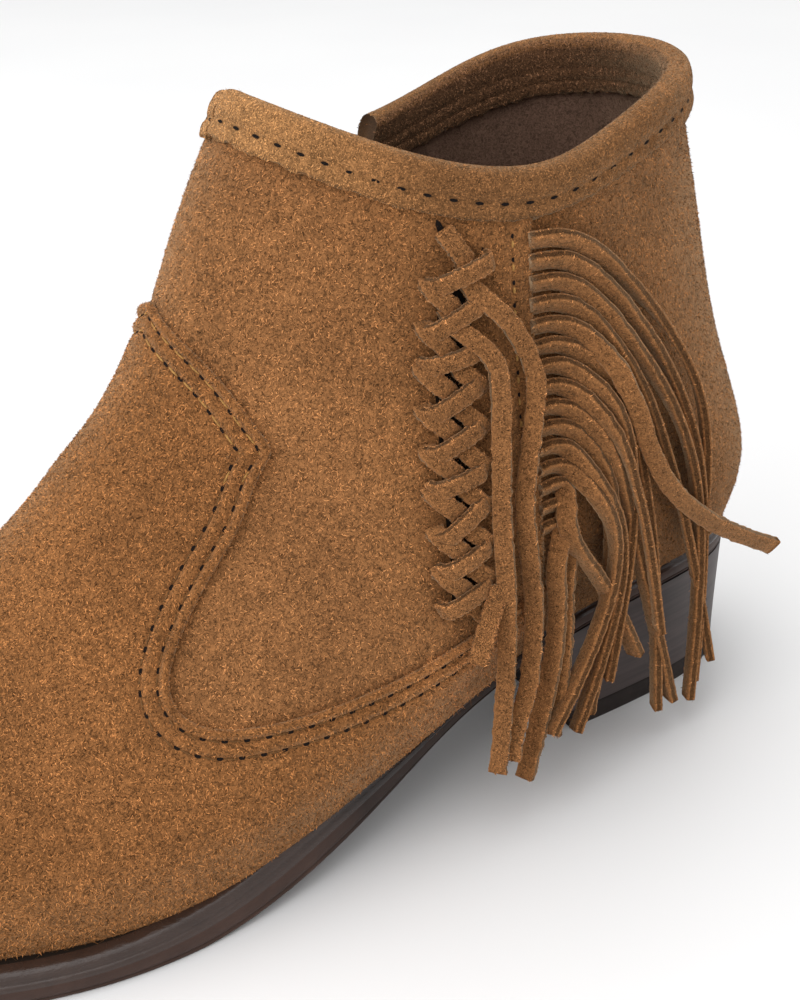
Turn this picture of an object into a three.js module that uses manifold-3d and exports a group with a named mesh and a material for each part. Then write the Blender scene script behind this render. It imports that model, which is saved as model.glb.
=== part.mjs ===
// Low moccasin boot in suede, for the left foot.
// Millimetres, +Z up, +X to the toe, +Y to the outer side.
// The origin is the middle of the heel's bottom face, on the floor.
import * as THREE from 'three';
import { mergeVertices } from 'three/addons/utils/BufferGeometryUtils.js';
import Module from 'manifold-3d';

const wasm = await Module();
wasm.setup();

// Driving dimensions
const footLength = 256;         // heel to toe along the feather edge, where upper meets sole
const heelLead = 28;            // how far the feather edge's back lies behind the heel's middle
const ballWidth = 91;
const collarWidth = 76;
const shaftHeight = 147;        // floor to the collar's front
const heelRise = 37;            // floor to the feather edge at the back
const forefootRise = 5.5;       // floor to the feather edge under the ball
const toeSpring = 9.5;          // lift of the feather edge at the toe, above the ball
const toeSwing = 7;             // toe's tip towards the inner side
const innerCollarDip = 3;       // how much lower the collar runs in front of the zip
const wall = 2.2;               // upper, front quarters
const quarterStep = 0.9;        // how much lower the rear quarter lies than the front one
const lastingMargin = 11;       // turned in under the foot
const gap = 0.3;                // between touching pieces
const soleThickness = 5.4;
const soleLedge = 5;            // how far the sole stands out round the forefoot
const insoleThickness = 2.6;
const heelBreastTop = 31;       // the heel's front face, ahead of the origin
const heelBreastBottom = 26;
const heelBottomBack = 28;      // behind the origin
const heelTaper = 0.82;         // bottom width over top width
const heelInset = 0.8;          // heel's top inside the sole's edge
const liftThickness = 5;
const vampThickness = 1.2;
const bindingDepth = 7.3;
const bindingThickness = 1.4;
const facingDepth = 10;         // the binding's inner leg
const sideSeam = 43;            // side seam and zip, ahead of the origin
const slotWidth = 4;            // zip opening
const zipFoot = 52;             // height where the zip starts
const tapeWidth = 16;
const tapeThickness = 0.8;
const tapeClearance = 0.6;      // tape's face to the bent wall in front of it
const teethProud = 0.6;
const sliderLength = 9;
const sliderWidth = 7;
const sliderThickness = 2;
const pullLength = 24;
const pullWidth = 5;
const laceWidth = 4;
const laceThickness = 1.3;
const braidWidth = 11;
const braidPitch = 8.4;
const braidBase = 0.8;
const braidSeat = 0.75;         // braid's base off the bent wall
const fringeTop = 120;          // height of the top strip
const fringePitch = 4.1;
const fringeReach = 47;         // furthest way back from the seam
const fringeFall = 114;         // longest way down from the top strip
const stripWidth = 3.9;
const stripThickness = 1.4;
const headerWidth = 3;
const headerSeat = 0.45;        // header strip off the rear quarter
const fringeStandoff = 3;       // strip's middle off the upper where it hangs

// The foot's shape, as shares of the sizes above

// Feather edge from heel to toe: heel is a share of the heel's rise, spring of the toe's
const featherTable = [
  { along: 0.000, heel: 1.00, spring: 0.00 },
  { along: 0.188, heel: 0.95, spring: 0.00 },
  { along: 0.266, heel: 0.825, spring: 0.00 },
  { along: 0.344, heel: 0.60, spring: 0.00 },
  { along: 0.420, heel: 0.33, spring: 0.00 },
  { along: 0.500, heel: 0.127, spring: 0.00 },
  { along: 0.580, heel: 0.016, spring: 0.00 },
  { along: 0.695, heel: 0.00, spring: 0.00 },
  { along: 0.850, heel: 0.00, spring: 0.26 },
  { along: 1.000, heel: 0.00, spring: 1.00 },
];

// Side view of the back and of the instep: along is a share of the length, up of the way
// from the feather edge to the collar
const backTable = [
  { along: 0.000, up: 0.00 },
  { along: -0.018, up: 0.15 },
  { along: -0.008, up: 0.284 },
  { along: 0.014, up: 0.443 },
  { along: 0.033, up: 0.62 },
  { along: 0.050, up: 0.80 },
  { along: 0.073, up: 1.00 },
];
const instepTable = [
  { along: 1.000, up: 0.00 },
  { along: 1.002, up: 0.069 },
  { along: 0.969, up: 0.138 },
  { along: 0.902, up: 0.20 },
  { along: 0.805, up: 0.271 },
  { along: 0.701, up: 0.346 },
  { along: 0.605, up: 0.477 },
  { along: 0.531, up: 0.642 },
  { along: 0.484, up: 0.838 },
  { along: 0.437, up: 1.00 },
];

// Collar's height from back to front, as shares of the shaft's height
const collarTable = [
  { along: 0.00, up: 0.972 },
  { along: 0.25, up: 0.941 },
  { along: 0.50, up: 0.897 },
  { along: 0.75, up: 0.917 },
  { along: 1.00, up: 0.987 },
];

// Half widths from heel to toe at rising levels, as shares of the half width there, which
// goes from the ball's at the feather edge to the collar's at the top
const widthStations = [0, 0.1, 0.22, 0.34, 0.5, 0.65, 0.85, 1];
const widthTable = [
  { up: 0.00, outer: [1.36, 1.03, 0.85, 0.79, 0.945, 1.01, 1.03, 1.30],
    inner: [1.36, 1.03, 0.75, 0.53, 0.71, 0.94, 1.01, 1.30] },
  { up: 0.10, outer: [1.41, 1.095, 0.94, 0.915, 1.005, 1.05, 1.01, 1.16],
    inner: [1.41, 1.095, 0.94, 0.805, 0.89, 1.01, 1.00, 1.16] },
  { up: 0.25, outer: [1.31, 1.08, 0.985, 0.985, 1.02, 1.03, 0.92, 0.86],
    inner: [1.31, 1.08, 0.985, 0.965, 1.0, 1.01, 0.91, 0.86] },
  { up: 0.45, outer: [1.165, 1.045, 1.0, 0.975, 1.0, 1.0, 0.855, 0.71],
    inner: [1.165, 1.045, 1.0, 0.975, 0.985, 0.975, 0.83, 0.71] },
  { up: 0.65, outer: [1.085, 1.01, 0.985, 0.96, 0.96, 0.95, 0.84, 0.715],
    inner: [1.085, 1.01, 0.96, 0.935, 0.925, 0.91, 0.84, 0.715] },
  { up: 0.85, outer: [1.05, 1.0, 0.97, 0.945, 0.945, 0.92, 0.845, 0.74],
    inner: [1.05, 0.97, 0.92, 0.87, 0.87, 0.855, 0.795, 0.715] },
  { up: 1.00, outer: [1.05, 1.025, 1.0, 0.975, 0.975, 0.95, 0.895, 0.815],
    inner: [1.05, 1.0, 0.92, 0.87, 0.84, 0.815, 0.765, 0.71] },
];

// Sole edge from heel to toe: ledge is a share of the forefoot's, thick of the thickness
const soleTable = [
  { along: 0.00, ledge: 0.2, thick: 0.74 },
  { along: 0.25, ledge: 0.2, thick: 0.70 },
  { along: 0.40, ledge: 0.2, thick: 0.74 },
  { along: 0.50, ledge: 0.3, thick: 0.88 },
  { along: 0.58, ledge: 0.6, thick: 1.00 },
  { along: 0.66, ledge: 1.0, thick: 1.00 },
  { along: 0.85, ledge: 1.0, thick: 1.00 },
  { along: 1.00, ledge: 0.9, thick: 1.00 },
];

// Vamp's raised edge in side view, from the shin down round its scallop and back along the
// sole: along is a share of the length, up of the shaft's height
const vampTable = [
  { along: 0.509, up: 0.748 },
  { along: 0.491, up: 0.683 },
  { along: 0.472, up: 0.612 },
  { along: 0.468, up: 0.589 },
  { along: 0.475, up: 0.570 },
  { along: 0.498, up: 0.509 },
  { along: 0.525, up: 0.452 },
  { along: 0.551, up: 0.399 },
  { along: 0.568, up: 0.360 },
  { along: 0.576, up: 0.331 },
  { along: 0.573, up: 0.306 },
  { along: 0.561, up: 0.290 },
  { along: 0.539, up: 0.281 },
  { along: 0.500, up: 0.279 },
  { along: 0.441, up: 0.286 },
  { along: 0.400, up: 0.295 },
  { along: 0.348, up: 0.313 },
];

// Braid's middle line in side view: ahead of the seam and up, as shares of the shaft's height
const braidTable = [
  { ahead: 0.092, up: 0.80 },
  { ahead: 0.106, up: 0.73 },
  { ahead: 0.116, up: 0.65 },
  { ahead: 0.12, up: 0.57 },
  { ahead: 0.125, up: 0.49 },
  { ahead: 0.127, up: 0.41 },
  { ahead: 0.136, up: 0.335 },
];

// Fringe strips from the top one down. Each leaves the seam level, bends, hangs and ends.
// back is a share of the fringe's reach, down of its fall, out of the standoff
const fringeTable = [
  { bend: [0.40, 0.08], hang: [1.00, 0.42], end: [0.83, 0.87], out: 0.0 },
  { bend: [0.38, 0.12], hang: [0.89, 0.45], end: [0.74, 0.90], out: 0.5 },
  { bend: [0.36, 0.16], hang: [0.84, 0.48], end: [0.72, 0.97], out: 1.6 },
  { bend: [0.34, 0.19], hang: [0.72, 0.45], end: [0.57, 0.75], out: 0.8 },
  { bend: [0.30, 0.21], hang: [0.54, 0.42], end: [1.26, 0.67], out: 4.2 },
  { bend: [0.26, 0.22], hang: [0.45, 0.38], end: [0.57, 0.96], out: 0.3 },
  { bend: [0.23, 0.25], hang: [0.44, 0.46], end: [0.28, 0.84], out: 1.8 },
  { bend: [0.24, 0.30], hang: [0.40, 0.45], end: [0.43, 0.81], out: 2.6 },
  { bend: [0.21, 0.32], hang: [0.36, 0.46], end: [0.64, 0.95], out: 1.2 },
  { bend: [0.21, 0.36], hang: [0.34, 0.50], end: [0.19, 0.89], out: 0.2 },
  { bend: [0.19, 0.40], hang: [0.34, 0.53], end: [0.28, 0.80], out: 2.2 },
  { bend: [0.19, 0.43], hang: [0.33, 0.55], end: [0.04, 0.87], out: 2.6 },
  { bend: [0.09, 0.48], hang: [0.19, 0.58], end: [0.36, 0.75], out: 1.0 },
  { bend: [0.04, 0.55], hang: [0.03, 0.62], end: [-0.19, 0.90], out: 0.8 },
  { bend: [0.10, 0.60], hang: [0.08, 0.69], end: [-0.06, 0.88], out: 0.4 },
];

// Loose ends of the braid's lace, their points chosen by hand: ahead of the origin, up, off
// the upper
const looseEnds = {
  lace_end_rear: [[55, 113, 3.7], [52, 109, 3], [48.5, 104, 3], [45.6, 99, 3.1], [44.6, 93, 3.2],
    [45.4, 86, 3.2], [47, 76, 3.2], [48, 66, 3.4], [48, 54, 4], [49, 42, 5.6], [50.5, 31, 8],
    [53, 21, 8.8]],
  lace_end_front: [[58, 109, 4.2], [55.3, 105.6, 4.6], [53.4, 101, 4.8], [52.6, 95, 4.6],
    [52.8, 85, 4.2], [53.2, 70, 4.2], [54.2, 57, 4.8], [55.2, 44, 6.2], [56.4, 29, 8],
    [58.2, 15, 8.5]],
  lace_end_short: [[58.6, 60, 3.95], [59.6, 51, 5.6], [62.4, 42, 8.4]],
};

// Colours, roughness and metalness
const suede = new THREE.MeshStandardMaterial({ color: 0x9a6a3c, roughness: 0.95, metalness: 0 });
const rubber = new THREE.MeshStandardMaterial({ color: 0x3a2a22, roughness: 0.5, metalness: 0 });
const stack = new THREE.MeshStandardMaterial({ color: 0x463831, roughness: 0.55, metalness: 0 });
const board = new THREE.MeshStandardMaterial({ color: 0x6b4a30, roughness: 0.85, metalness: 0 });
const cloth = new THREE.MeshStandardMaterial({ color: 0x6e4a2c, roughness: 0.9, metalness: 0 });
const brass = new THREE.MeshStandardMaterial({ color: 0x9c7a45, roughness: 0.35, metalness: 1 });

// Curves

function lerp(a, b, t) {
  return a + (b - a) * t;
}

function smooth(t) {
  const c = Math.min(1, Math.max(0, t));
  return c * c * (3 - 2 * c);
}

// Natural cubic spline through (xs, ys), as a function
function spline(xs, ys) {
  const n = xs.length;
  const bend = new Array(n).fill(0);
  const work = new Array(n).fill(0);
  for (let i = 1; i < n - 1; i += 1) {
    const before = xs[i] - xs[i - 1];
    const after = xs[i + 1] - xs[i];
    const share = before / (before + after);
    const p = share * bend[i - 1] + 2;
    const slopeChange = (ys[i + 1] - ys[i]) / after - (ys[i] - ys[i - 1]) / before;
    bend[i] = (share - 1) / p;
    work[i] = (6 * slopeChange / (before + after) - share * work[i - 1]) / p;
  }
  bend[n - 1] = 0;
  for (let i = n - 2; i >= 0; i -= 1) {
    bend[i] = bend[i] * bend[i + 1] + work[i];
  }
  return (x) => {
    let i = 0;
    while (i < n - 2 && x > xs[i + 1]) {
      i += 1;
    }
    const width = xs[i + 1] - xs[i];
    const a = (xs[i + 1] - x) / width;
    const b = 1 - a;
    const curved = (a ** 3 - a) * bend[i] + (b ** 3 - b) * bend[i + 1];
    return a * ys[i] + b * ys[i + 1] + curved * width * width / 6;
  };
}

// Smooth path through points, as a function of the share of its chord length
function path(points) {
  const at = [0];
  for (let i = 1; i < points.length; i += 1) {
    const step = points[i].map((value, k) => value - points[i - 1][k]);
    at.push(at[i - 1] + Math.hypot(...step));
  }
  const total = at[at.length - 1];
  const shares = at.map((value) => value / total);
  const axes = points[0].map((_, k) => spline(shares, points.map((point) => point[k])));
  return (t) => axes.map((axis) => axis(t));
}

// The upper's form: up goes from the feather edge at 0 to the collar at 1, and turn goes
// round the boot, from the toe at 0 by the outer side to the heel's back at PI

const feather = spline(
  featherTable.map((row) => row.along),
  featherTable.map((row) => forefootRise + row.heel * (heelRise - forefootRise)
    + row.spring * toeSpring),
);
const collar = spline(
  collarTable.map((row) => row.along),
  collarTable.map((row) => row.up * shaftHeight),
);
const toeRise = forefootRise + toeSpring;
const xAlong = (along) => footLength * along - heelLead;
const backLine = path(backTable.map((row) => [
  xAlong(row.along),
  lerp(heelRise, collar(0), row.up),
]));
const instepLine = path(instepTable.map((row) => [
  xAlong(row.along),
  lerp(toeRise, collar(1), row.up),
]));
const outerRows = widthTable.map((row) => spline(widthStations, row.outer));
const innerRows = widthTable.map((row) => spline(widthStations, row.inner));
const levels = widthTable.map((row) => row.up);
const dipAlong = 0.72;
const dipSpread = 0.16;
const ballX = xAlong(0.6);

function sideView(along, up) {
  const back = backLine(up);
  const front = instepLine(up);
  const low = [xAlong(along), feather(along)];
  const collarBack = backLine(1);
  const collarFront = instepLine(1);
  const high = [lerp(collarBack[0], collarFront[0], along), collar(along)];
  const corners = [backLine(0), collarBack, instepLine(0), collarFront];
  return [0, 1].map((k) => {
    const across = lerp(back[k], front[k], along);
    const rise = lerp(low[k], high[k], up);
    const rearCorner = lerp(corners[0][k], corners[1][k], up);
    const frontCorner = lerp(corners[2][k], corners[3][k], up);
    return across + rise - lerp(rearCorner, frontCorner, along);
  });
}

function halfWidth(along, up, inner) {
  const rows = inner ? innerRows : outerRows;
  const share = spline(levels, rows.map((row) => row(along)))(up);
  return share * lerp(ballWidth, collarWidth, up) / 2;
}

function form(turn, up) {
  const along = (1 + Math.cos(turn)) / 2;
  const inner = Math.sin(turn) < 0;
  const [x, z] = sideView(along, up);
  const dip = inner ? Math.exp(-(((along - dipAlong) / dipSpread) ** 2)) * up ** 5 : 0;
  const swing = toeSwing * smooth((x - ballX) / (xAlong(1) - ballX));
  const y = halfWidth(along, up, inner) * Math.sin(turn) - swing;
  return new THREE.Vector3(x, y, z - innerCollarDip * dip);
}

function outward(turn, up) {
  const step = 0.004;
  const low = Math.max(0, up - step);
  const high = Math.min(1, up + step);
  const round = form(turn + step, up).sub(form(turn - step, up));
  const rise = form(turn, high).sub(form(turn, low));
  return round.cross(rise).normalize();
}

// A point off the form, out by a distance along its normal
function off(turn, up, out) {
  return form(turn, up).addScaledVector(outward(turn, up), out);
}

// The feather edge's own ring, moved out level by a distance
function footRing(turn, out) {
  const step = 0.004;
  const here = form(turn, 0);
  const round = form(turn + step, 0).sub(form(turn - step, 0));
  const level = new THREE.Vector3(round.y, -round.x, 0).normalize();
  return here.addScaledVector(level, out);
}

function alongAt(x) {
  return Math.min(1, Math.max(0, (x + heelLead) / footLength));
}

// Turn on one side where the form at this level has the wanted x
function turnAt(x, up, inner) {
  let low = 0;
  let high = 1;
  for (let i = 0; i < 30; i += 1) {
    const middle = (low + high) / 2;
    if (sideView(middle, up)[0] < x) {
      low = middle;
    } else {
      high = middle;
    }
  }
  const turn = Math.acos(2 * low - 1);
  return inner ? 2 * Math.PI - turn : turn;
}

// Turn and level on one side where the form has the wanted x and z
function placeAt(x, z, inner) {
  let low = 0;
  let high = 1;
  for (let i = 0; i < 24; i += 1) {
    const middle = (low + high) / 2;
    if (form(turnAt(x, middle, inner), middle).z < z) {
      low = middle;
    } else {
      high = middle;
    }
  }
  return { turn: turnAt(x, low, inner), up: low };
}

// Solids

function geometryOf(positions) {
  const geometry = new THREE.BufferGeometry();
  geometry.setAttribute('position', new THREE.Float32BufferAttribute(positions, 3));
  return geometry;
}

// One closed mesh from triangles, with equal corners merged and empty triangles dropped
function weld(triangles) {
  const positions = triangles.flatMap((corners) => corners.flatMap((p) => [p.x, p.y, p.z]));
  const merged = mergeVertices(geometryOf(positions), 1e-4);
  const index = merged.index.array;
  const kept = [];
  for (let i = 0; i < index.length; i += 3) {
    const [a, b, c] = [index[i], index[i + 1], index[i + 2]];
    if (a !== b && b !== c && c !== a) {
      kept.push(a, b, c);
    }
  }
  merged.setIndex(kept);
  return merged;
}

function quad(triangles, a, b, c, d) {
  triangles.push([a, b, c], [a, c, d]);
}

// Rings of points that each close, one after another; closed joins the last to the first
function tube(rings, closed) {
  const triangles = [];
  const count = rings[0].length;
  const last = closed ? rings.length : rings.length - 1;
  for (let i = 0; i < last; i += 1) {
    const here = rings[i];
    const next = rings[(i + 1) % rings.length];
    for (let k = 0; k < count; k += 1) {
      const side = (k + 1) % count;
      quad(triangles, here[k], here[side], next[side], next[k]);
    }
  }
  if (!closed) {
    const first = rings[0];
    const end = rings[rings.length - 1];
    for (let k = 1; k < count - 1; k += 1) {
      triangles.push([first[0], first[k + 1], first[k]]);
      triangles.push([end[0], end[k], end[k + 1]]);
    }
  }
  return triangles;
}

// A sheet of some thickness: two grids of the same size, outer and inner, and its rim
function sheet(outer, inner) {
  const triangles = [];
  const rows = outer.length - 1;
  const columns = outer[0].length - 1;
  for (let i = 0; i < rows; i += 1) {
    for (let k = 0; k < columns; k += 1) {
      quad(triangles, outer[i][k], outer[i][k + 1], outer[i + 1][k + 1], outer[i + 1][k]);
      quad(triangles, inner[i][k], inner[i + 1][k], inner[i + 1][k + 1], inner[i][k + 1]);
    }
    quad(triangles, outer[i][0], outer[i + 1][0], inner[i + 1][0], inner[i][0]);
    quad(triangles, outer[i + 1][columns], outer[i][columns], inner[i][columns],
      inner[i + 1][columns]);
  }
  for (let k = 0; k < columns; k += 1) {
    quad(triangles, outer[0][k + 1], outer[0][k], inner[0][k], inner[0][k + 1]);
    quad(triangles, outer[rows][k], outer[rows][k + 1], inner[rows][k + 1], inner[rows][k]);
  }
  return triangles;
}

// A slab under or in the foot: rings from top to bottom, each a list of outer and inner
// points in pairs from one end to the other, closed across by strips
function slab(rings) {
  const triangles = [];
  const last = rings[0].length - 1;
  for (let level = 0; level < rings.length - 1; level += 1) {
    const high = rings[level];
    const low = rings[level + 1];
    for (let k = 0; k < last; k += 1) {
      quad(triangles, high[k].outer, high[k + 1].outer, low[k + 1].outer, low[k].outer);
      quad(triangles, high[k + 1].inner, high[k].inner, low[k].inner, low[k + 1].inner);
    }
    quad(triangles, high[0].inner, high[0].outer, low[0].outer, low[0].inner);
    quad(triangles, high[last].outer, high[last].inner, low[last].inner, low[last].outer);
  }
  const top = rings[0];
  const bottom = rings[rings.length - 1];
  for (let k = 0; k < last; k += 1) {
    quad(triangles, top[k].outer, top[k].inner, top[k + 1].inner, top[k + 1].outer);
    quad(triangles, bottom[k].inner, bottom[k].outer, bottom[k + 1].outer, bottom[k + 1].inner);
  }
  return triangles;
}

function volume(geometry) {
  const at = geometry.attributes.position;
  const index = geometry.index.array;
  const corner = [new THREE.Vector3(), new THREE.Vector3(), new THREE.Vector3()];
  let sum = 0;
  for (let i = 0; i < index.length; i += 3) {
    corner.forEach((p, k) => p.fromBufferAttribute(at, index[i + k]));
    sum += corner[0].dot(corner[1].clone().cross(corner[2])) / 6;
  }
  return sum;
}

// Turns the faces of a whole mesh out where they point in
function facingOut(geometry) {
  if (volume(geometry) < 0) {
    const index = Array.from(geometry.index.array);
    for (let i = 0; i < index.length; i += 3) {
      [index[i + 1], index[i + 2]] = [index[i + 2], index[i + 1]];
    }
    geometry.setIndex(index);
  }
  return geometry;
}

function solid(triangles) {
  return facingOut(weld(triangles));
}

function toManifold(geometry) {
  return new wasm.Manifold(new wasm.Mesh({
    numProp: 3,
    vertProperties: new Float32Array(geometry.attributes.position.array),
    triVerts: new Uint32Array(geometry.index.array),
  }));
}

function fromManifold(body) {
  const mesh = body.getMesh();
  const geometry = geometryOf(Array.from(mesh.vertProperties));
  geometry.setIndex(Array.from(mesh.triVerts));
  return geometry;
}

// Strips that cross can close a small hollow between them, which is filled
function join(geometries) {
  let body = toManifold(geometries[0]);
  for (const geometry of geometries.slice(1)) {
    body = body.add(toManifold(geometry));
  }
  const shells = body.decompose().filter((shell) => shell.volume() > 0);
  return fromManifold(shells.reduce((all, shell) => all.add(shell)));
}

function cut(geometry, tools) {
  let body = toManifold(geometry);
  for (const tool of tools) {
    body = body.subtract(toManifold(tool));
  }
  return fromManifold(body);
}

// Upper

const turns = 60;
const upperLevels = [0, 0.04, 0.1, 0.18, 0.28, 0.4, 0.52, 0.65, 0.77, 0.89, 1];

function shareRange(count) {
  return Array.from({ length: count + 1 }, (_, i) => i / count);
}

// The turned-in margin's edge, at the feather edge's height or above it
function marginPoint(turn, inset, rise) {
  const point = footRing(turn, -inset);
  point.z = feather(alongAt(point.x)) + rise;
  return point;
}

function upperShell() {
  const rings = shareRange(turns).slice(0, turns).map((share) => {
    const turn = share * 2 * Math.PI;
    const outside = upperLevels.map((up) => off(turn, up, 0));
    const inside = upperLevels.slice(1).reverse().map((up) => off(turn, up, -wall));
    return [
      marginPoint(turn, lastingMargin, 0),
      ...outside,
      ...inside,
      marginPoint(turn, wall, wall),
      marginPoint(turn, lastingMargin, wall),
    ];
  });
  return solid(tube(rings, true));
}

// The zip's opening, from its foot through the collar
function zipSlot() {
  const depth = ballWidth;
  const height = 2 * shaftHeight;
  const box = new THREE.BoxGeometry(slotWidth, depth, height);
  box.translate(sideSeam, -depth / 2, zipFoot + height / 2);
  return facingOut(plain(box));
}

function plain(geometry) {
  geometry.deleteAttribute('normal');
  geometry.deleteAttribute('uv');
  return mergeVertices(geometry, 1e-4);
}

// What the rear quarter lies lower by, from the side seam round the heel to the zip
function quarterRecess() {
  const rows = [0.012, 0.06, 0.13, 0.21, 0.31, 0.43, 0.56, 0.7, 0.85, 1];
  const topUp = (turn) => 1 - (bindingDepth + gap) / columnLength(turn);
  const grid = (out) => rows.map((share) => shareRange(22).map((round) => {
    const rough = lerp(Math.PI / 2, 1.5 * Math.PI, round);
    const up = share * topUp(rough);
    const start = turnAt(sideSeam, up, false);
    const end = turnAt(sideSeam, up, true);
    return off(lerp(start, end, round), up, out);
  }));
  return solid(sheet(grid(2), grid(-quarterStep)));
}

function columnLength(turn) {
  const step = 0.01;
  return form(turn, 1).distanceTo(form(turn, 1 - step)) / step;
}

function makeUpper() {
  return cut(upperShell(), [zipSlot(), quarterRecess()]);
}

// Collar binding

function bindingPoint(turn, down, out) {
  const length = columnLength(turn);
  if (down >= 0) {
    return off(turn, 1 - down / length, out);
  }
  const rise = form(turn, 1).sub(form(turn, 0.99)).normalize();
  return off(turn, 1, out).addScaledVector(rise, -down);
}

function makeBinding() {
  const skin = gap + bindingThickness;
  const middle = -wall / 2;
  const profile = [
    [bindingDepth, gap],
    [bindingDepth, skin],
    [1, skin],
    [-0.6 * skin, 0.6 * skin],
    [-skin, middle],
    [-0.6 * skin, -wall - 0.6 * skin],
    [1, -wall - skin],
    [facingDepth, -wall - skin],
    [facingDepth, -wall - gap],
    [-gap, -wall - gap],
    [-gap, gap],
  ];
  const rings = shareRange(turns).slice(0, turns).map((share) => {
    const turn = share * 2 * Math.PI;
    return profile.map(([down, out]) => bindingPoint(turn, down, out));
  });
  return cut(solid(tube(rings, true)), [zipSlot()]);
}

// The whole foot's body out to a distance off the form, going on below the feather edge
function formBody(out, below) {
  const pairs = (up, drop) => shareRange(turns / 2).map((share) => {
    const turn = share * Math.PI;
    const place = (side) => {
      const point = off(side * turn, up, out);
      point.z = Math.max(point.z, feather(alongAt(point.x))) - drop;
      return point;
    };
    const outer = place(1);
    return { outer, inner: share === 0 || share === 1 ? outer : place(-1) };
  });
  const rings = upperLevels.slice().reverse().map((up) => pairs(up, 0));
  if (below > 0) {
    rings.push(pairs(0, below));
  }
  return solid(slab(rings));
}

// Vamp overlay: a shell cut to its side outline, the same on both sides

function makeVamp() {
  const edge = vampTable.map((row) => [xAlong(row.along), row.up * shaftHeight]);
  const [, shinZ] = edge[0];
  const [wingX] = edge[edge.length - 1];
  const beyond = xAlong(1) + ballWidth;
  const outline = new THREE.Shape();
  outline.moveTo(beyond, shinZ);
  edge.forEach(([x, z]) => outline.lineTo(x, z));
  outline.lineTo(wingX, -shaftHeight);
  outline.lineTo(beyond, -shaftHeight);
  outline.closePath();
  const prism = new THREE.ExtrudeGeometry(outline, { depth: 2 * ballWidth, bevelEnabled: false });
  prism.rotateX(Math.PI / 2);
  prism.translate(0, ballWidth, 0);
  const shell = toManifold(formBody(gap + vampThickness, 0))
    .subtract(toManifold(formBody(gap, shaftHeight)));
  return fromManifold(shell.intersect(toManifold(facingOut(plain(prism)))));
}

// Sole, insole and heel

const soleSteps = 34;
const ledge = spline(soleTable.map((row) => row.along), soleTable.map((row) => row.ledge));
const thick = spline(soleTable.map((row) => row.along), soleTable.map((row) => row.thick));

function soleTop(x) {
  return feather(alongAt(x)) - gap;
}

function soleUnder(x) {
  return Math.max(0, soleTop(x) - soleThickness * thick(alongAt(x)));
}

function footPairs(steps, inset, height) {
  return shareRange(steps).map((share) => {
    const turn = share * Math.PI;
    const place = (side) => {
      const point = footRing(side * turn, inset((1 + Math.cos(turn)) / 2));
      point.z = height(point.x);
      return point;
    };
    const outer = place(1);
    const atEnd = share === 0 || share === 1;
    return { outer, inner: atEnd ? outer : place(-1) };
  });
}

function makeOutsole() {
  const bevel = 0.9;
  const edge = (along) => soleLedge * ledge(along);
  return solid(slab([
    footPairs(soleSteps, (along) => edge(along) - bevel, soleTop),
    footPairs(soleSteps, edge, (x) => soleTop(x) - bevel),
    footPairs(soleSteps, edge, (x) => soleUnder(x) + bevel),
    footPairs(soleSteps, (along) => edge(along) - bevel, soleUnder),
  ]));
}

function makeInsole() {
  const inset = wall + 2 * gap + 1;
  const seat = (x) => feather(alongAt(x)) + wall + gap;
  return solid(slab([
    footPairs(soleSteps, () => -inset, (x) => seat(x) + insoleThickness),
    footPairs(soleSteps, () => -inset, seat),
  ]));
}

// Heel plan at a share of its height, 0 under the sole and 1 on the floor
function heelPairs(share, height) {
  const steps = 16;
  const blend = 1 - (1 - share) ** 1.3;
  const rim = soleLedge * ledge(0) - heelInset;
  const topBack = footRing(Math.PI, rim).x;
  const start = turnAt(heelBreastTop, 0, false);
  return shareRange(steps).map((t) => {
    const turn = lerp(start, Math.PI, t);
    const place = (side) => {
      const point = footRing(side * turn, rim);
      const forward = t === 0 ? 1 : (point.x - topBack) / (heelBreastTop - topBack);
      const topX = lerp(topBack, heelBreastTop, Math.min(1, forward));
      const bottomX = lerp(-heelBottomBack, heelBreastBottom, Math.min(1, forward));
      const x = lerp(topX, bottomX, blend);
      const y = point.y * lerp(1, heelTaper, blend);
      return new THREE.Vector3(x, y, height(x, topX));
    };
    const outer = place(1);
    return { outer, inner: t === 1 ? outer : place(-1) };
  });
}

const liftShare = 1 - liftThickness / heelRise;

function makeHeel() {
  const floor = liftThickness + gap;
  const seat = (topX) => soleUnder(topX) - gap;
  const shares = [0, 0.2, 0.4, 0.6, liftShare];
  return solid(slab(shares.map((share) => heelPairs(share, (x, topX) => {
    return lerp(seat(topX), floor, share / liftShare);
  }))));
}

function makeLift() {
  return solid(slab([
    heelPairs(liftShare, () => liftThickness),
    heelPairs(1, () => 0),
  ]));
}

// Zip on the inner side, closed

// A point by the zip's line, out square to the slot's walls where it lies between them
function zipPoint(up, sideways, out) {
  const turn = turnAt(sideSeam + sideways, up, true);
  if (Math.abs(sideways) > slotWidth / 2) {
    return off(turn, up, out);
  }
  const level = outward(turn, up).setX(0).normalize();
  return form(turn, up).addScaledVector(level, out);
}

function makeZip() {
  const half = slotWidth / 2 - gap;
  const tape = tapeWidth / 2;
  const behind = -wall - tapeClearance;
  const backFace = behind - tapeThickness;
  const profile = [
    [0, backFace], [-tape / 2, backFace], [-tape, backFace], [-tape, behind],
    [-tape / 2, behind], [-half, behind], [-half, teethProud], [half, teethProud],
    [half, behind], [tape / 2, behind], [tape, behind], [tape, backFace],
    [tape / 2, backFace],
  ];
  const footUp = placeAt(sideSeam, zipFoot + tapeClearance + gap, true).up;
  const topUp = 1 - (facingDepth + 2 * tapeClearance) / columnLength(turnAt(sideSeam, 1, true));
  const between = upperLevels.filter((up) => up > footUp + 0.02 && up < topUp - 0.02);
  const rings = [footUp, ...between, topUp].map((up) => {
    return profile.map(([sideways, out]) => zipPoint(up, sideways, out));
  });
  return solid(tube(rings, false));
}

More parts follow.
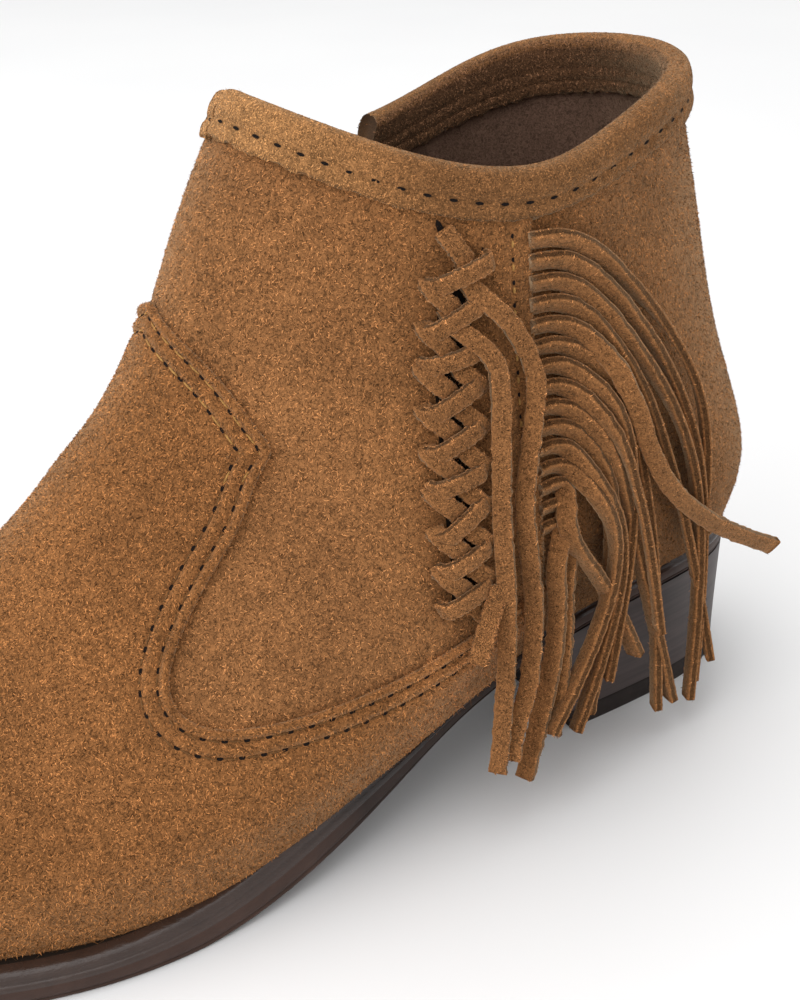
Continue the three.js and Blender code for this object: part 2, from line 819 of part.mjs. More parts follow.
// A flat bar that follows the form beside the zip's line
function zipBar(lowUp, highUp, width, near, far, steps) {
  const half = width / 2;
  const profile = [[-half, far], [half, far], [half, near], [-half, near]];
  const rings = shareRange(steps).map((share) => {
    const up = lerp(lowUp, highUp, share);
    return profile.map(([sideways, out]) => zipPoint(up, sideways, out));
  });
  return solid(tube(rings, false));
}

function sliderSpan() {
  const length = columnLength(turnAt(sideSeam, 1, true));
  const high = 1 - (facingDepth + 2 * tapeClearance + gap) / length;
  return { high, low: high - sliderLength / length, length };
}

function makeSlider() {
  const { high, low } = sliderSpan();
  const near = teethProud + gap;
  return zipBar(low, high, sliderWidth, near, near + sliderThickness, 2);
}

function makePull() {
  const { high, low, length } = sliderSpan();
  const near = teethProud + 2 * gap + sliderThickness;
  const start = lerp(low, high, 0.6);
  return zipBar(start - pullLength / length, start, pullWidth, near, near + laceThickness, 5);
}

// Strips: a flat band along points, with its width turned from the upper's face to edge on

function strip(points, width, thickness, twist, steps) {
  const line = path(points.map((p) => [p.x, p.y, p.z]));
  const step = 0.01;
  const at = (t) => new THREE.Vector3(...line(t));
  const rings = shareRange(steps).map((t) => {
    const ahead = at(Math.min(1, t + step)).sub(at(Math.max(0, t - step))).normalize();
    const face = new THREE.Vector3(0, 1, 0).addScaledVector(ahead, -ahead.y).normalize();
    const across = new THREE.Vector3().crossVectors(ahead, face);
    const angle = twist(t);
    const wide = across.clone().multiplyScalar(Math.cos(angle));
    wide.addScaledVector(face, Math.sin(angle)).multiplyScalar(width / 2);
    const thin = face.clone().multiplyScalar(Math.cos(angle));
    thin.addScaledVector(across, -Math.sin(angle)).multiplyScalar(thickness / 2);
    const middle = at(t);
    return [[1, 1], [-1, 1], [-1, -1], [1, -1]].map(([w, n]) => {
      return middle.clone().addScaledVector(wide, w).addScaledVector(thin, n);
    });
  });
  return solid(tube(rings, false));
}

// A point beside the outer face: below the widest level it hangs straight down
const hangHeight = 50;

function beside(x, z, out) {
  const { turn, up } = placeAt(x, Math.max(z, hangHeight), false);
  const point = off(turn, up, out);
  return new THREE.Vector3(x, point.y, z);
}

// Braid: a thin base with lace bars fused on, over and under

// One crossing of the braid, for the pitch and lace above: down and out in mm, ahead as a
// share of the braid's width
const overTable = [
  { down: 5.4, ahead: 0.50, out: 0.2 },
  { down: 3.6, ahead: 0.25, out: 1.0 },
  { down: 1.6, ahead: -0.15, out: 1.1 },
  { down: 0.0, ahead: -0.48, out: 0.3 },
];
const underTable = [
  { down: -1.5, ahead: 0.42, out: 0.2 },
  { down: 1.4, ahead: 0.20, out: 0.3 },
  { down: 4.6, ahead: -0.15, out: 0.2 },
  { down: 7.4, ahead: -0.44, out: 0.2 },
];
const firstCrossing = 2;        // under the braid's top
const baseWidth = 0.8;          // braid's base, as a share of the braid's width

const braidLine = spline(
  braidTable.map((row) => -row.up * shaftHeight),
  braidTable.map((row) => sideSeam + row.ahead * shaftHeight),
);

function braidPoint(z, across, out) {
  return beside(braidLine(-z) + across, z, out);
}

function makeBraid() {
  const top = braidTable[0].up * shaftHeight;
  const bottom = braidTable[braidTable.length - 1].up * shaftHeight;
  const grid = (out) => shareRange(10).map((row) => shareRange(2).map((column) => {
    return braidPoint(lerp(top, bottom, row), braidWidth * baseWidth * (0.5 - column), out);
  }));
  const parts = [solid(sheet(grid(braidSeat + braidBase), grid(braidSeat)))];
  const count = Math.floor((top - bottom - braidPitch) / braidPitch);
  const flat = () => 0;
  const seat = braidSeat + laceThickness / 2;
  for (let i = 0; i <= count; i += 1) {
    const z = top - firstCrossing - i * braidPitch;
    const lay = (table) => table.map(({ down, ahead, out }) => {
      return braidPoint(z - down, ahead * braidWidth, seat + out);
    });
    parts.push(strip(lay(overTable), laceWidth, laceThickness, flat, 3));
    parts.push(strip(lay(underTable), laceWidth, laceThickness, flat, 2));
  }
  return join(parts);
}

// Fringe: a header strip under the side seam's edge with its strips fused on

function headerStrip() {
  const low = -quarterStep + headerSeat;
  const high = low + stripThickness;
  const far = sideSeam - gap;
  const top = fringeTop + stripWidth / 2;
  const bottom = fringeTop - fringeTable.length * fringePitch + stripWidth / 2;
  const grid = (out) => shareRange(16).map((row) => shareRange(1).map((column) => {
    return beside(far - headerWidth * column, lerp(top, bottom, row), out);
  }));
  return solid(sheet(grid(high), grid(low)));
}

function fringeStrip(row, number) {
  const startZ = fringeTop - number * fringePitch;
  const seat = -quarterStep + gap + stripThickness / 2;
  const place = ([back, down], out) => {
    return beside(sideSeam - back * fringeReach, fringeTop - down * fringeFall, out);
  };
  const hangOut = fringeStandoff + row.out;
  const points = [
    beside(sideSeam - gap - 0.4, startZ, seat),
    beside(sideSeam - headerWidth - 2, startZ - 0.1, seat + 0.5),
    place(row.bend, lerp(seat, hangOut, 0.7)),
    place(row.hang, hangOut),
    place(row.end, hangOut + 1.5),
  ];
  const twist = (t) => 0.9 * smooth((t - 0.1) / 0.4);
  return strip(points, stripWidth, stripThickness, twist, 6);
}

function makeFringe() {
  return join([headerStrip(), ...fringeTable.map(fringeStrip)]);
}

function makeLooseEnd(points) {
  const line = points.map(([x, z, out]) => beside(x, z, out));
  return strip(line, laceWidth, laceThickness, () => 0, points.length + 1);
}

// The boot

const boot = new THREE.Group();

function add(name, geometry, material) {
  geometry.computeVertexNormals();
  const mesh = new THREE.Mesh(geometry, material);
  mesh.name = name;
  boot.add(mesh);
}

add('outsole', makeOutsole(), rubber);
add('heel', makeHeel(), stack);
add('heel_top_lift', makeLift(), rubber);
add('insole', makeInsole(), board);
add('upper', makeUpper(), suede);
add('vamp', makeVamp(), suede);
add('collar_binding', makeBinding(), suede);
add('zip', makeZip(), cloth);
add('zip_slider', makeSlider(), brass);
add('zip_pull', makePull(), suede);
add('braid', makeBraid(), suede);
add('fringe', makeFringe(), suede);
for (const [name, points] of Object.entries(looseEnds)) {
  add(name, makeLooseEnd(points), suede);
}

export default boot;
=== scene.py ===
# Low moccasin boot in suede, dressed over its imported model.
# Lengths are millimetres until a mesh is made. Axes are the frame's own: +X to the toe,
# +Y to the outer side, +Z up.
import math

import bpy
import numpy as np
from mathutils import Matrix, Vector


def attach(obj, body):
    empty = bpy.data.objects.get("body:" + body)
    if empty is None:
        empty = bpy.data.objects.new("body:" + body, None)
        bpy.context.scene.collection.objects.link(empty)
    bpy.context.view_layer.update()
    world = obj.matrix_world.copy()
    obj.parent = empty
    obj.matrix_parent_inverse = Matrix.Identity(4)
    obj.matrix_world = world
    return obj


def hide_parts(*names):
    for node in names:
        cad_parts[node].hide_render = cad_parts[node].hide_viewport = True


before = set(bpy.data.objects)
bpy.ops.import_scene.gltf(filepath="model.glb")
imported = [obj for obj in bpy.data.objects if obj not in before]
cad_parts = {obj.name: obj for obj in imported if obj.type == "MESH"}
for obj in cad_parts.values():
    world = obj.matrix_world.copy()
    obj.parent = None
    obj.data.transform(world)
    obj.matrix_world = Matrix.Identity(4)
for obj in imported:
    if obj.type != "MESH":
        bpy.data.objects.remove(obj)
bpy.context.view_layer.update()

MM = 0.001
RANDOM = np.random.default_rng(11)

# Sizes of the boot, as in its solids
FOOT_LENGTH = 256
HEEL_LEAD = 28
BALL_WIDTH = 91
COLLAR_WIDTH = 76
SHAFT_HEIGHT = 147
HEEL_RISE = 37
FOREFOOT_RISE = 5.5
TOE_SPRING = 9.5
TOE_SWING = 7
INNER_COLLAR_DIP = 3
WALL = 2.2
QUARTER_STEP = 0.9
LASTING_MARGIN = 11
GAP = 0.3
SOLE_THICKNESS = 5.4
SOLE_LEDGE = 5
INSOLE_THICKNESS = 2.6
HEEL_BREAST_TOP = 31
HEEL_BREAST_BOTTOM = 26
HEEL_BOTTOM_BACK = 28
HEEL_TAPER = 0.82
LIFT_THICKNESS = 5
VAMP_THICKNESS = 1.2
BINDING_DEPTH = 7.3
BINDING_THICKNESS = 1.4
FACING_DEPTH = 10
SIDE_SEAM = 43
SLOT_WIDTH = 4
ZIP_FOOT = 52
LACE_WIDTH = 4
BRAID_WIDTH = 11
BRAID_SEAT = 0.75
FRINGE_TOP = 120
FRINGE_PITCH = 4.1
FRINGE_REACH = 47
FRINGE_FALL = 114
STRIP_WIDTH = 3.9
STRIP_THICKNESS = 1.4
HEADER_WIDTH = 3
FRINGE_STANDOFF = 3
HANG_HEIGHT = 50

# Sizes that only the dressed boot has
STITCH_PITCH = 4.1
VAMP_ROWS = (2.2, 5.4)      # stitch rows, in from the vamp's raised edge
PANEL_ROW = 3.5             # stitch row ahead of the side seam
PANEL_RAISE = 0.45
BAND_ROLL = 0.72            # height of the collar's roll as a share of its radius
BAND_ROW = BINDING_DEPTH - 3.0
STRAY = 4                   # number of the fringe strip that stands off, and how far
STRAY_FLARE = 9
STRIP_DRAWN = 1.9           # thickness of strips and laces with their nap
LACE_DRAWN = 1.7
BAR_TOP = 116.6             # height of the braid's top bar
BAR_PITCH = 7.6
BAR_COUNT = 9
INNER_FRONT_DIP = 3.0       # inner collar ahead of the zip, and where that dip fades out
INNER_DIP_END = 90
INNER_DIP_FADE = 30
ZIP_DIP = 1.8               # inner collar at the zip
ZIP_DIP_SPREAD = 24
TUCK = 2.0                  # suede drawn in at the feather edge, up to a level, ahead of the heel
TUCK_LEVEL = 0.13
TUCK_START = 0.31
TUCK_FADE = 0.14
HEEL_TRIM = 1.1             # sole's edge cut back at the heel, to be flush with it
LIFT_SHARE = 1 - LIFT_THICKNESS / HEEL_RISE
STEP = 0.004                # step of turn or level for slopes of the form

# Form tables, in shares of the sizes above. Columns are named beside each one.

# along, share of the heel's rise, share of the toe's spring
FEATHER = [
    (0.000, 1.00, 0.00), (0.188, 0.95, 0.00), (0.266, 0.825, 0.00), (0.344, 0.60, 0.00),
    (0.420, 0.33, 0.00), (0.500, 0.127, 0.00), (0.580, 0.016, 0.00), (0.695, 0.00, 0.00),
    (0.850, 0.00, 0.26), (1.000, 0.00, 1.00),
]
# along, up
BACK = [
    (0.000, 0.00), (-0.018, 0.15), (-0.008, 0.284), (0.014, 0.443), (0.033, 0.62),
    (0.050, 0.80), (0.073, 1.00),
]
INSTEP = [
    (1.000, 0.00), (1.002, 0.069), (0.969, 0.138), (0.902, 0.20), (0.805, 0.271),
    (0.701, 0.346), (0.605, 0.477), (0.531, 0.642), (0.484, 0.838), (0.437, 1.00),
]
# along, share of the shaft's height
COLLAR = [(0.00, 0.972), (0.25, 0.941), (0.50, 0.897), (0.75, 0.917), (1.00, 0.987)]
# Half widths: a row for each level, a column for each station from heel to toe
STATIONS = [0, 0.1, 0.22, 0.34, 0.5, 0.65, 0.85, 1]
LEVELS = [0, 0.10, 0.25, 0.45, 0.65, 0.85, 1]
OUTER_WIDTHS = [
    (1.36, 1.03, 0.85, 0.79, 0.945, 1.01, 1.03, 1.30),
    (1.41, 1.095, 0.94, 0.915, 1.005, 1.05, 1.01, 1.16),
    (1.31, 1.08, 0.985, 0.985, 1.02, 1.03, 0.92, 0.86),
    (1.165, 1.045, 1.0, 0.975, 1.0, 1.0, 0.855, 0.71),
    (1.085, 1.01, 0.985, 0.96, 0.96, 0.95, 0.84, 0.715),
    (1.05, 1.0, 0.97, 0.945, 0.945, 0.92, 0.845, 0.74),
    (1.05, 1.025, 1.0, 0.975, 0.975, 0.95, 0.895, 0.815),
]
INNER_WIDTHS = [
    (1.36, 1.03, 0.75, 0.53, 0.71, 0.94, 1.01, 1.30),
    (1.41, 1.095, 0.94, 0.805, 0.89, 1.01, 1.00, 1.16),
    (1.31, 1.08, 0.985, 0.965, 1.0, 1.01, 0.91, 0.86),
    (1.165, 1.045, 1.0, 0.975, 0.985, 0.975, 0.83, 0.71),
    (1.085, 1.01, 0.96, 0.935, 0.925, 0.91, 0.84, 0.715),
    (1.05, 0.97, 0.92, 0.87, 0.87, 0.855, 0.795, 0.715),
    (1.05, 1.0, 0.92, 0.87, 0.84, 0.815, 0.765, 0.71),
]
# Sole edge: along, share of the ledge, share of the thickness
SOLE = [
    (0.00, 0.2, 0.74), (0.25, 0.2, 0.70), (0.40, 0.2, 0.74), (0.50, 0.3, 0.88),
    (0.58, 0.6, 1.00), (0.66, 1.0, 1.00), (0.85, 1.0, 1.00), (1.00, 0.9, 1.00),
]
# How far the dressed sole's top rises above the feather edge, in mm
WELT = [
    (0.00, 0.0), (0.32, 0.0), (0.38, 0.3), (0.44, 2.1), (0.50, 2.4), (0.56, 1.1), (0.62, 0.4),
    (0.68, -0.2), (0.80, 0.0), (1.00, 0.0),
]
# Vamp's raised edge: along, share of the shaft's height, and where the row of the mesh that
# starts there meets the feather edge, along
VAMP = [
    (0.509, 0.748, 1.0), (0.491, 0.683, 0.975), (0.472, 0.612, 0.94), (0.468, 0.589, 0.925),
    (0.475, 0.570, 0.91), (0.498, 0.509, 0.86), (0.525, 0.452, 0.80), (0.551, 0.399, 0.74),
    (0.568, 0.360, 0.69), (0.576, 0.331, 0.65), (0.573, 0.306, 0.615), (0.561, 0.290, 0.585),
    (0.539, 0.281, 0.55), (0.500, 0.279, 0.50), (0.441, 0.286, 0.44), (0.400, 0.295, 0.40),
    (0.348, 0.313, 0.348), (0.295, 0.336, 0.295),
]
# Braid's middle line: ahead of the seam and up, shares of the shaft's height
BRAID = [
    (0.092, 0.80), (0.106, 0.73), (0.116, 0.65), (0.12, 0.57), (0.125, 0.49), (0.127, 0.41),
    (0.136, 0.335),
]
# Fringe strips: bend back and down, hang back and down, end back and down, out, twist
FRINGE = [
    (0.40, 0.08, 0.97, 0.42, 0.90, 0.73, 0.0, 1.0),
    (0.38, 0.12, 0.89, 0.45, 0.91, 0.96, 0.5, 1.0),
    (0.36, 0.16, 0.84, 0.48, 0.86, 0.99, 1.6, 0.9),
    (0.34, 0.19, 0.74, 0.50, 1.02, 0.93, 0.8, 1.0),
    (0.30, 0.21, 0.52, 0.41, 1.42, 0.74, 4.2, 0.5),
    (0.26, 0.22, 0.47, 0.38, 0.66, 0.98, 0.3, 0.9),
    (0.23, 0.25, 0.44, 0.46, 0.31, 0.84, 1.8, 1.0),
    (0.24, 0.30, 0.42, 0.45, 0.60, 0.78, 3.6, 0.9),
    (0.21, 0.32, 0.38, 0.46, 0.74, 0.97, 1.2, 0.7),
    (0.21, 0.36, 0.34, 0.50, 0.20, 0.90, 0.2, 0.6),
    (0.19, 0.40, 0.36, 0.53, 0.10, 0.91, 2.2, 0.9),
    (0.19, 0.43, 0.33, 0.55, -0.06, 0.88, 2.6, 0.8),
    (0.09, 0.48, 0.19, 0.58, 0.49, 0.82, 1.4, 0.4),
    (0.04, 0.55, 0.03, 0.62, -0.19, 0.96, 0.8, 0.3),
    (0.10, 0.60, 0.08, 0.69, -0.02, 0.90, 0.4, 0.2),
]
# Loose lace ends: ahead of the origin, up, off the upper
LOOSE_ENDS = {
    "lace_end_rear": [
        (56.6, 117, 1.2), (55.4, 113.6, 2.2), (53.2, 111, 3.2), (49.9, 107.3, 3.2),
        (46.4, 101, 3.2), (44.6, 94.4, 3.2), (45.4, 88, 3.2), (46.8, 81, 3.2), (48.6, 72, 3.2),
        (48.7, 65.8, 3.3), (48.2, 55, 3.6), (48.1, 47, 4.2), (49.4, 39.4, 5.2), (51.8, 32.6, 6.5),
        (55.5, 26, 8), (57.4, 20, 8.8),
    ],
    "lace_end_front": [
        (60, 110.5, 1.2), (58.6, 106.8, 2.4), (55.5, 103.6, 3.6), (53.5, 100.6, 4.4),
        (52.7, 95.5, 4.4), (53.2, 85, 4.2), (54.5, 69.8, 4.2), (55, 59, 4.6), (55.9, 45.4, 5.4),
        (58, 31.5, 7), (60.7, 18.2, 8.5),
    ],
    "lace_end_short": [(56.6, 57, 3.4), (57.6, 54, 4), (60.6, 49.4, 5.2), (63.7, 44, 6.8)],
}


# Curves

def lerp(a, b, t):
    return a + (b - a) * t


def smooth(t):
    c = np.clip(t, 0, 1)
    return c * c * (3 - 2 * c)


def spline(places, values):
    """Natural cubic spline through values at places, for single numbers and arrays."""
    places = np.asarray(places, float)
    values = np.asarray(values, float)
    count = len(places)
    widths = np.diff(places)
    system = np.eye(count)
    sides = np.zeros(values.shape)
    for i in range(1, count - 1):
        system[i, i - 1] = widths[i - 1] / 6
        system[i, i] = (widths[i - 1] + widths[i]) / 3
        system[i, i + 1] = widths[i] / 6
        sides[i] = (values[i + 1] - values[i]) / widths[i]
        sides[i] -= (values[i] - values[i - 1]) / widths[i - 1]
    bends = np.linalg.solve(system, sides.reshape(count, -1)).reshape(values.shape)

    def at(t):
        t = np.asarray(t, float)
        i = np.clip(np.searchsorted(places, t) - 1, 0, count - 2)
        spread = (...,) + (None,) * (values.ndim - 1)
        width = widths[i]
        b = (t - places[i]) / width
        a = 1 - b
        curve = ((a**3 - a) * width**2 / 6)[spread] * bends[i]
        curve = curve + ((b**3 - b) * width**2 / 6)[spread] * bends[i + 1]
        return a[spread] * values[i] + b[spread] * values[i + 1] + curve

    return at


def run_along(points):
    """Length of the line through points, from the first one to each."""
    return np.concatenate([[0], np.cumsum(np.linalg.norm(np.diff(points, axis=0), axis=1))])


def path(points):
    """Smooth path through points, by the share of its chord length."""
    points = np.asarray(points, float)
    places = run_along(points)
    return spline(places / places[-1], points)


def unit(vectors):
    return vectors / np.maximum(np.linalg.norm(vectors, axis=-1, keepdims=True), 1e-12)


# The upper's form: up goes from the feather edge at 0 to the collar at 1, and turn goes
# round the boot from the toe at 0 by the outer side to the heel's back at pi

def x_along(along):
    return FOOT_LENGTH * along - HEEL_LEAD


def along_at(x):
    return np.clip((x + HEEL_LEAD) / FOOT_LENGTH, 0, 1)


def column(table, number):
    return [row[number] for row in table]


TOE_RISE = FOREFOOT_RISE + TOE_SPRING
feather = spline(column(FEATHER, 0), [
    FOREFOOT_RISE + heel * (HEEL_RISE - FOREFOOT_RISE) + spring * TOE_SPRING
    for _, heel, spring in FEATHER
])
collar = spline(column(COLLAR, 0), [up * SHAFT_HEIGHT for _, up in COLLAR])
back_line = path([
    (x_along(along), lerp(HEEL_RISE, float(collar(0)), up)) for along, up in BACK
])
instep_line = path([
    (x_along(along), lerp(TOE_RISE, float(collar(1)), up)) for along, up in INSTEP
])
outer_widths = spline(STATIONS, np.array(OUTER_WIDTHS).T)
inner_widths = spline(STATIONS, np.array(INNER_WIDTHS).T)
level_shares = spline(LEVELS, np.eye(len(LEVELS)))
ledge_share = spline(column(SOLE, 0), column(SOLE, 1))
thick_share = spline(column(SOLE, 0), column(SOLE, 2))
DIP_ALONG = 0.72
DIP_SPREAD = 0.16
BALL_X = x_along(0.6)


def side_view(along, up):
    """x and z of the form: a patch between back, instep, feather edge and collar."""
    back = back_line(up)
    front = instep_line(up)
    low = np.stack([x_along(along), feather(along)], -1)
    collar_back = back_line(1)
    collar_front = instep_line(1)
    high_x = lerp(collar_back[0], collar_front[0], along)
    high = np.stack([high_x, collar(along)], -1)
    a = along[..., None]
    u = up[..., None]
    across = lerp(back, front, a)
    rise = lerp(low, high, u)
    rear_corner = lerp(back_line(0), collar_back, u)
    front_corner = lerp(instep_line(0), collar_front, u)
    return across + rise - lerp(rear_corner, front_corner, a)


def form(turn, up):
    """Points of the upper's surface by turn and level."""
    turn, up = np.broadcast_arrays(np.asarray(turn, float), np.asarray(up, float))
    along = (1 + np.cos(turn)) / 2
    inner = np.sin(turn) < 0
    x, z = np.moveaxis(side_view(along, up), -1, 0)
    dip = np.exp(-(((along - DIP_ALONG) / DIP_SPREAD) ** 2)) * up**5 * inner
    dip = dip * INNER_COLLAR_DIP
    dip = dip + ZIP_DIP * up**5 * inner * np.exp(-(((x - SIDE_SEAM) / ZIP_DIP_SPREAD) ** 2))
    dip = dip + (INNER_FRONT_DIP * up**5 * inner * smooth((x - SIDE_SEAM) / 2)
                 * smooth((INNER_DIP_END - x) / INNER_DIP_FADE))
    swing = TOE_SWING * smooth((x - BALL_X) / (x_along(1) - BALL_X))
    rows = np.where(inner[..., None], inner_widths(along), outer_widths(along))
    share = (level_shares(up) * rows).sum(-1)
    half = share * lerp(BALL_WIDTH, COLLAR_WIDTH, up) / 2
    return np.stack([x, half * np.sin(turn) - swing, z - dip], -1)


def outward(turn, up):
    """The form's normal, away from the foot."""
    low = np.maximum(0, up - STEP)
    high = np.minimum(1, up + STEP)
    around = form(turn + STEP, up) - form(turn - STEP, up)
    rise = form(turn, high) - form(turn, low)
    return unit(np.cross(around, rise))


def off(turn, up, out):
    """Points off the form, out along its normal."""
    turn, up = np.broadcast_arrays(np.asarray(turn, float), np.asarray(up, float))
    return form(turn, up) + outward(turn, up) * np.asarray(out, float)[..., None]


def foot_ring(turn, out):
    """Points of the feather edge, moved out on the level."""
    around = form(turn + STEP, 0) - form(turn - STEP, 0)
    level = unit(np.stack([around[..., 1], -around[..., 0], 0 * around[..., 0]], -1))
    return form(turn, 0) + level * np.asarray(out, float)[..., None]


def turn_at(x, up, inner):
    """Turn on one side where the form at this level has the wanted x."""
    x, up = np.broadcast_arrays(np.asarray(x, float), np.asarray(up, float))
    low = np.zeros(x.shape)
    high = np.ones(x.shape)
    for _ in range(26):
        middle = (low + high) / 2
        under = side_view(middle, up)[..., 0] < x
        low = np.where(under, middle, low)
        high = np.where(under, high, middle)
    turn = np.arccos(np.clip(2 * low - 1, -1, 1))
    return 2 * math.pi - turn if inner else turn


def place_at(x, z, inner):
    """Turn and level on one side where the form has the wanted x and z."""
    x, z = np.broadcast_arrays(np.asarray(x, float), np.asarray(z, float))
    low = np.zeros(x.shape)
    high = np.ones(x.shape)
    for _ in range(20):
        middle = (low + high) / 2
        under = form(turn_at(x, middle, inner), middle)[..., 2] < z
        low = np.where(under, middle, low)
        high = np.where(under, high, middle)
    return turn_at(x, low, inner), low


def beside(x, z, out):
    """A point beside the outer face: below the hanging height it drops straight down."""
    turn, up = place_at(x, np.maximum(z, HANG_HEIGHT), False)
    points = off(turn, up, out)
    points[..., 0] = x
    points[..., 2] = z
    return points


def column_length(turn):
    """Length of the wall from the feather edge to the collar, by its slope at the collar."""
    step = 0.01
    return np.linalg.norm(form(turn, 1) - form(turn, 1 - step), axis=-1) / step


# Soft folds pressed into the suede: ahead of the origin, up, lean in degrees, long, wide,
# deep (below 0 is a ridge), and the side: 1 outer, -1 inner, 0 both
FOLDS = [
    (88, 112, 75, 26, 7, 0.7, 1),
    (76, 96, 82, 30, 8, 0.9, 1),
    (84, 66, 40, 22, 8, 0.6, 1),
    (66, 62, 75, 20, 6, 0.5, 1),
    (14, 112, 80, 22, 8, 0.8, 1),
    (2, 66, 60, 24, 8, 0.6, 1),
    (128, 52, 35, 34, 7, 0.9, 0),
    (138, 42, 30, 30, 6, 0.6, 0),
    (150, 36, 25, 26, 6, 0.5, 0),
    (118, 74, 50, 26, 7, -0.5, 0),
    (180, 24, 12, 26, 9, 0.5, 0),
    (86, 100, 85, 30, 8, 0.7, -1),
    (20, 96, 80, 26, 8, 0.7, -1),
]


def fold_relief(points):
    """How far the soft folds sink the surface at these points."""
    sunk = np.zeros(points.shape[:-1])
    for ahead, up, lean, long, wide, deep, side in FOLDS:
        angle = math.radians(lean)
        dx = points[..., 0] - ahead
        dz = points[..., 2] - up
        run = dx * math.cos(angle) + dz * math.sin(angle)
        across = -dx * math.sin(angle) + dz * math.cos(angle)
        amount = deep * np.exp(-((run / long) ** 2) - (across / wide) ** 2)
        if side:
            amount = amount * smooth(0.5 + side * points[..., 1] / 12)
        sunk += amount
    return sunk


def skin(turn, up, out):
    """A point off the form with the soft folds in it."""
    points = off(turn, up, out)
    edge = smooth(np.asarray(up) / 0.08) * smooth((1 - np.asarray(up)) / 0.12)
    tuck = TUCK * smooth((along_at(points[..., 0]) - TUCK_START) / TUCK_FADE)
    sink = fold_relief(points) * edge + tuck * (1 - smooth(np.asarray(up) / TUCK_LEVEL))
    return points - outward(turn, up) * sink[..., None]


# Meshes

def grid_faces(rows, columns, close_rows=False, close_columns=False):
    """Quads of a grid of vertices, row after row."""
    i, k = np.meshgrid(
        np.arange(rows if close_rows else rows - 1),
        np.arange(columns if close_columns else columns - 1),
        indexing="ij",
    )
    i2 = (i + 1) % rows
    k2 = (k + 1) % columns
    quads = np.stack([i * columns + k, i * columns + k2, i2 * columns + k2, i2 * columns + k])
    return quads.reshape(4, -1).T


def make_object(name, points, faces, materials, replaces=(), slots=None, marks=None):
    """A mesh in metres that rides on the boot. Faces are arrays of quads, or one face's corners."""
    mesh = bpy.data.meshes.new(name)
    points = np.asarray(points, float).reshape(-1, 3) * MM
    corners = np.concatenate([np.asarray(face, np.int32).ravel() for face in faces])
    sizes = np.concatenate([
        np.full(len(face), len(face[0]), np.int32) if np.ndim(face) == 2
        else np.array([len(face)], np.int32) for face in faces
    ])
    mesh.vertices.add(len(points))
    mesh.vertices.foreach_set("co", points.ravel())
    mesh.loops.add(len(corners))
    mesh.loops.foreach_set("vertex_index", corners)
    mesh.polygons.add(len(sizes))
    mesh.polygons.foreach_set("loop_start", np.concatenate([[0], np.cumsum(sizes)[:-1]]))
    mesh.polygons.foreach_set("loop_total", sizes)
    mesh.update(calc_edges=True)
    for material in materials:
        mesh.materials.append(material)
    if slots is not None:
        mesh.polygons.foreach_set("material_index", np.asarray(slots, np.int32))
    for key, values in (marks or {}).items():
        layer = mesh.attributes.new(key, "FLOAT", "POINT")
        layer.data.foreach_set("value", np.asarray(values, np.float32).ravel())
    mesh.shade_smooth()
    mesh.validate()
    made = bpy.data.objects.new(name, mesh)
    bpy.context.scene.collection.objects.link(made)
    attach(made, "root")
    if replaces:
        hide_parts(*replaces)


class Build:
    """Vertices and faces of one piece, gathered from several grids."""

    def __init__(self):
        self.points = []
        self.faces = []
        self.slots = []
        self.marks = {}
        self.count = 0
        self.nap = []
        self.rims = []

    def add(self, points, faces, slot=0, **marks):
        points = np.asarray(points, float).reshape(-1, 3)
        self.faces.append(np.asarray(faces) + self.count)
        self.slots.extend(np.broadcast_to(slot, len(faces)))
        self.points.append(points)
        for key in set(marks) | set(self.marks):
            before = self.marks.setdefault(key, [np.zeros(self.count)])
            value = marks.get(key, 0)
            before.append(np.broadcast_to(np.asarray(value, float).ravel(), len(points)))
        self.count += len(points)

    def add_grid(self, grid, slot=0, flip=False, close_rows=False, close_columns=False, **marks):
        grid = np.asarray(grid, float)
        faces = grid_faces(*grid.shape[:2], close_rows, close_columns)
        self.add(grid, faces[:, ::-1] if flip else faces, slot, **marks)

    def add_face(self, corners, slot=0):
        """One face on vertices that are there already."""
        self.faces.append(corners)
        self.slots.append(slot)

    def close_ends(self, rows, columns):
        """Faces across the first and last row of the tube that was added last."""
        first = self.count - rows * columns
        self.add_face(np.arange(first, first + columns))
        self.add_face(np.arange(self.count - 1, self.count - columns - 1, -1))

    def finish(self, name, materials, replaces=()):
        marks = {key: np.concatenate(rows) for key, rows in self.marks.items()}
        points = np.concatenate(self.points)
        make_object(name, points, self.faces, materials, replaces, self.slots, marks)


# Nap fibres: the way they are combed, spreads of angle and tone, depth of the root, width of
# the tip as a share, and how far they keep from a stitch hole
COMB = (0.25, 0, -0.45)
LIFT_SPREAD = 0.16
TONE_SPREAD = 0.42
ROOT_DEPTH = 0.05
TIP_WIDTH = 0.24
HOLE_CLEAR = 0.75


# Numbers of fibres by piece. Strips and laces have some on their frayed rims as well.
UPPER_FIBRES = 150000
VAMP_FIBRES = 170000
STRAY_FIBRES = 2600
BAND_FIBRES = 62000
FACING_FIBRES = 36000
FRINGE_FIBRES = (72000, 18000)
BRAID_FIBRES = (32000, 8000)
LACE_FIBRES = (9000, 2400)


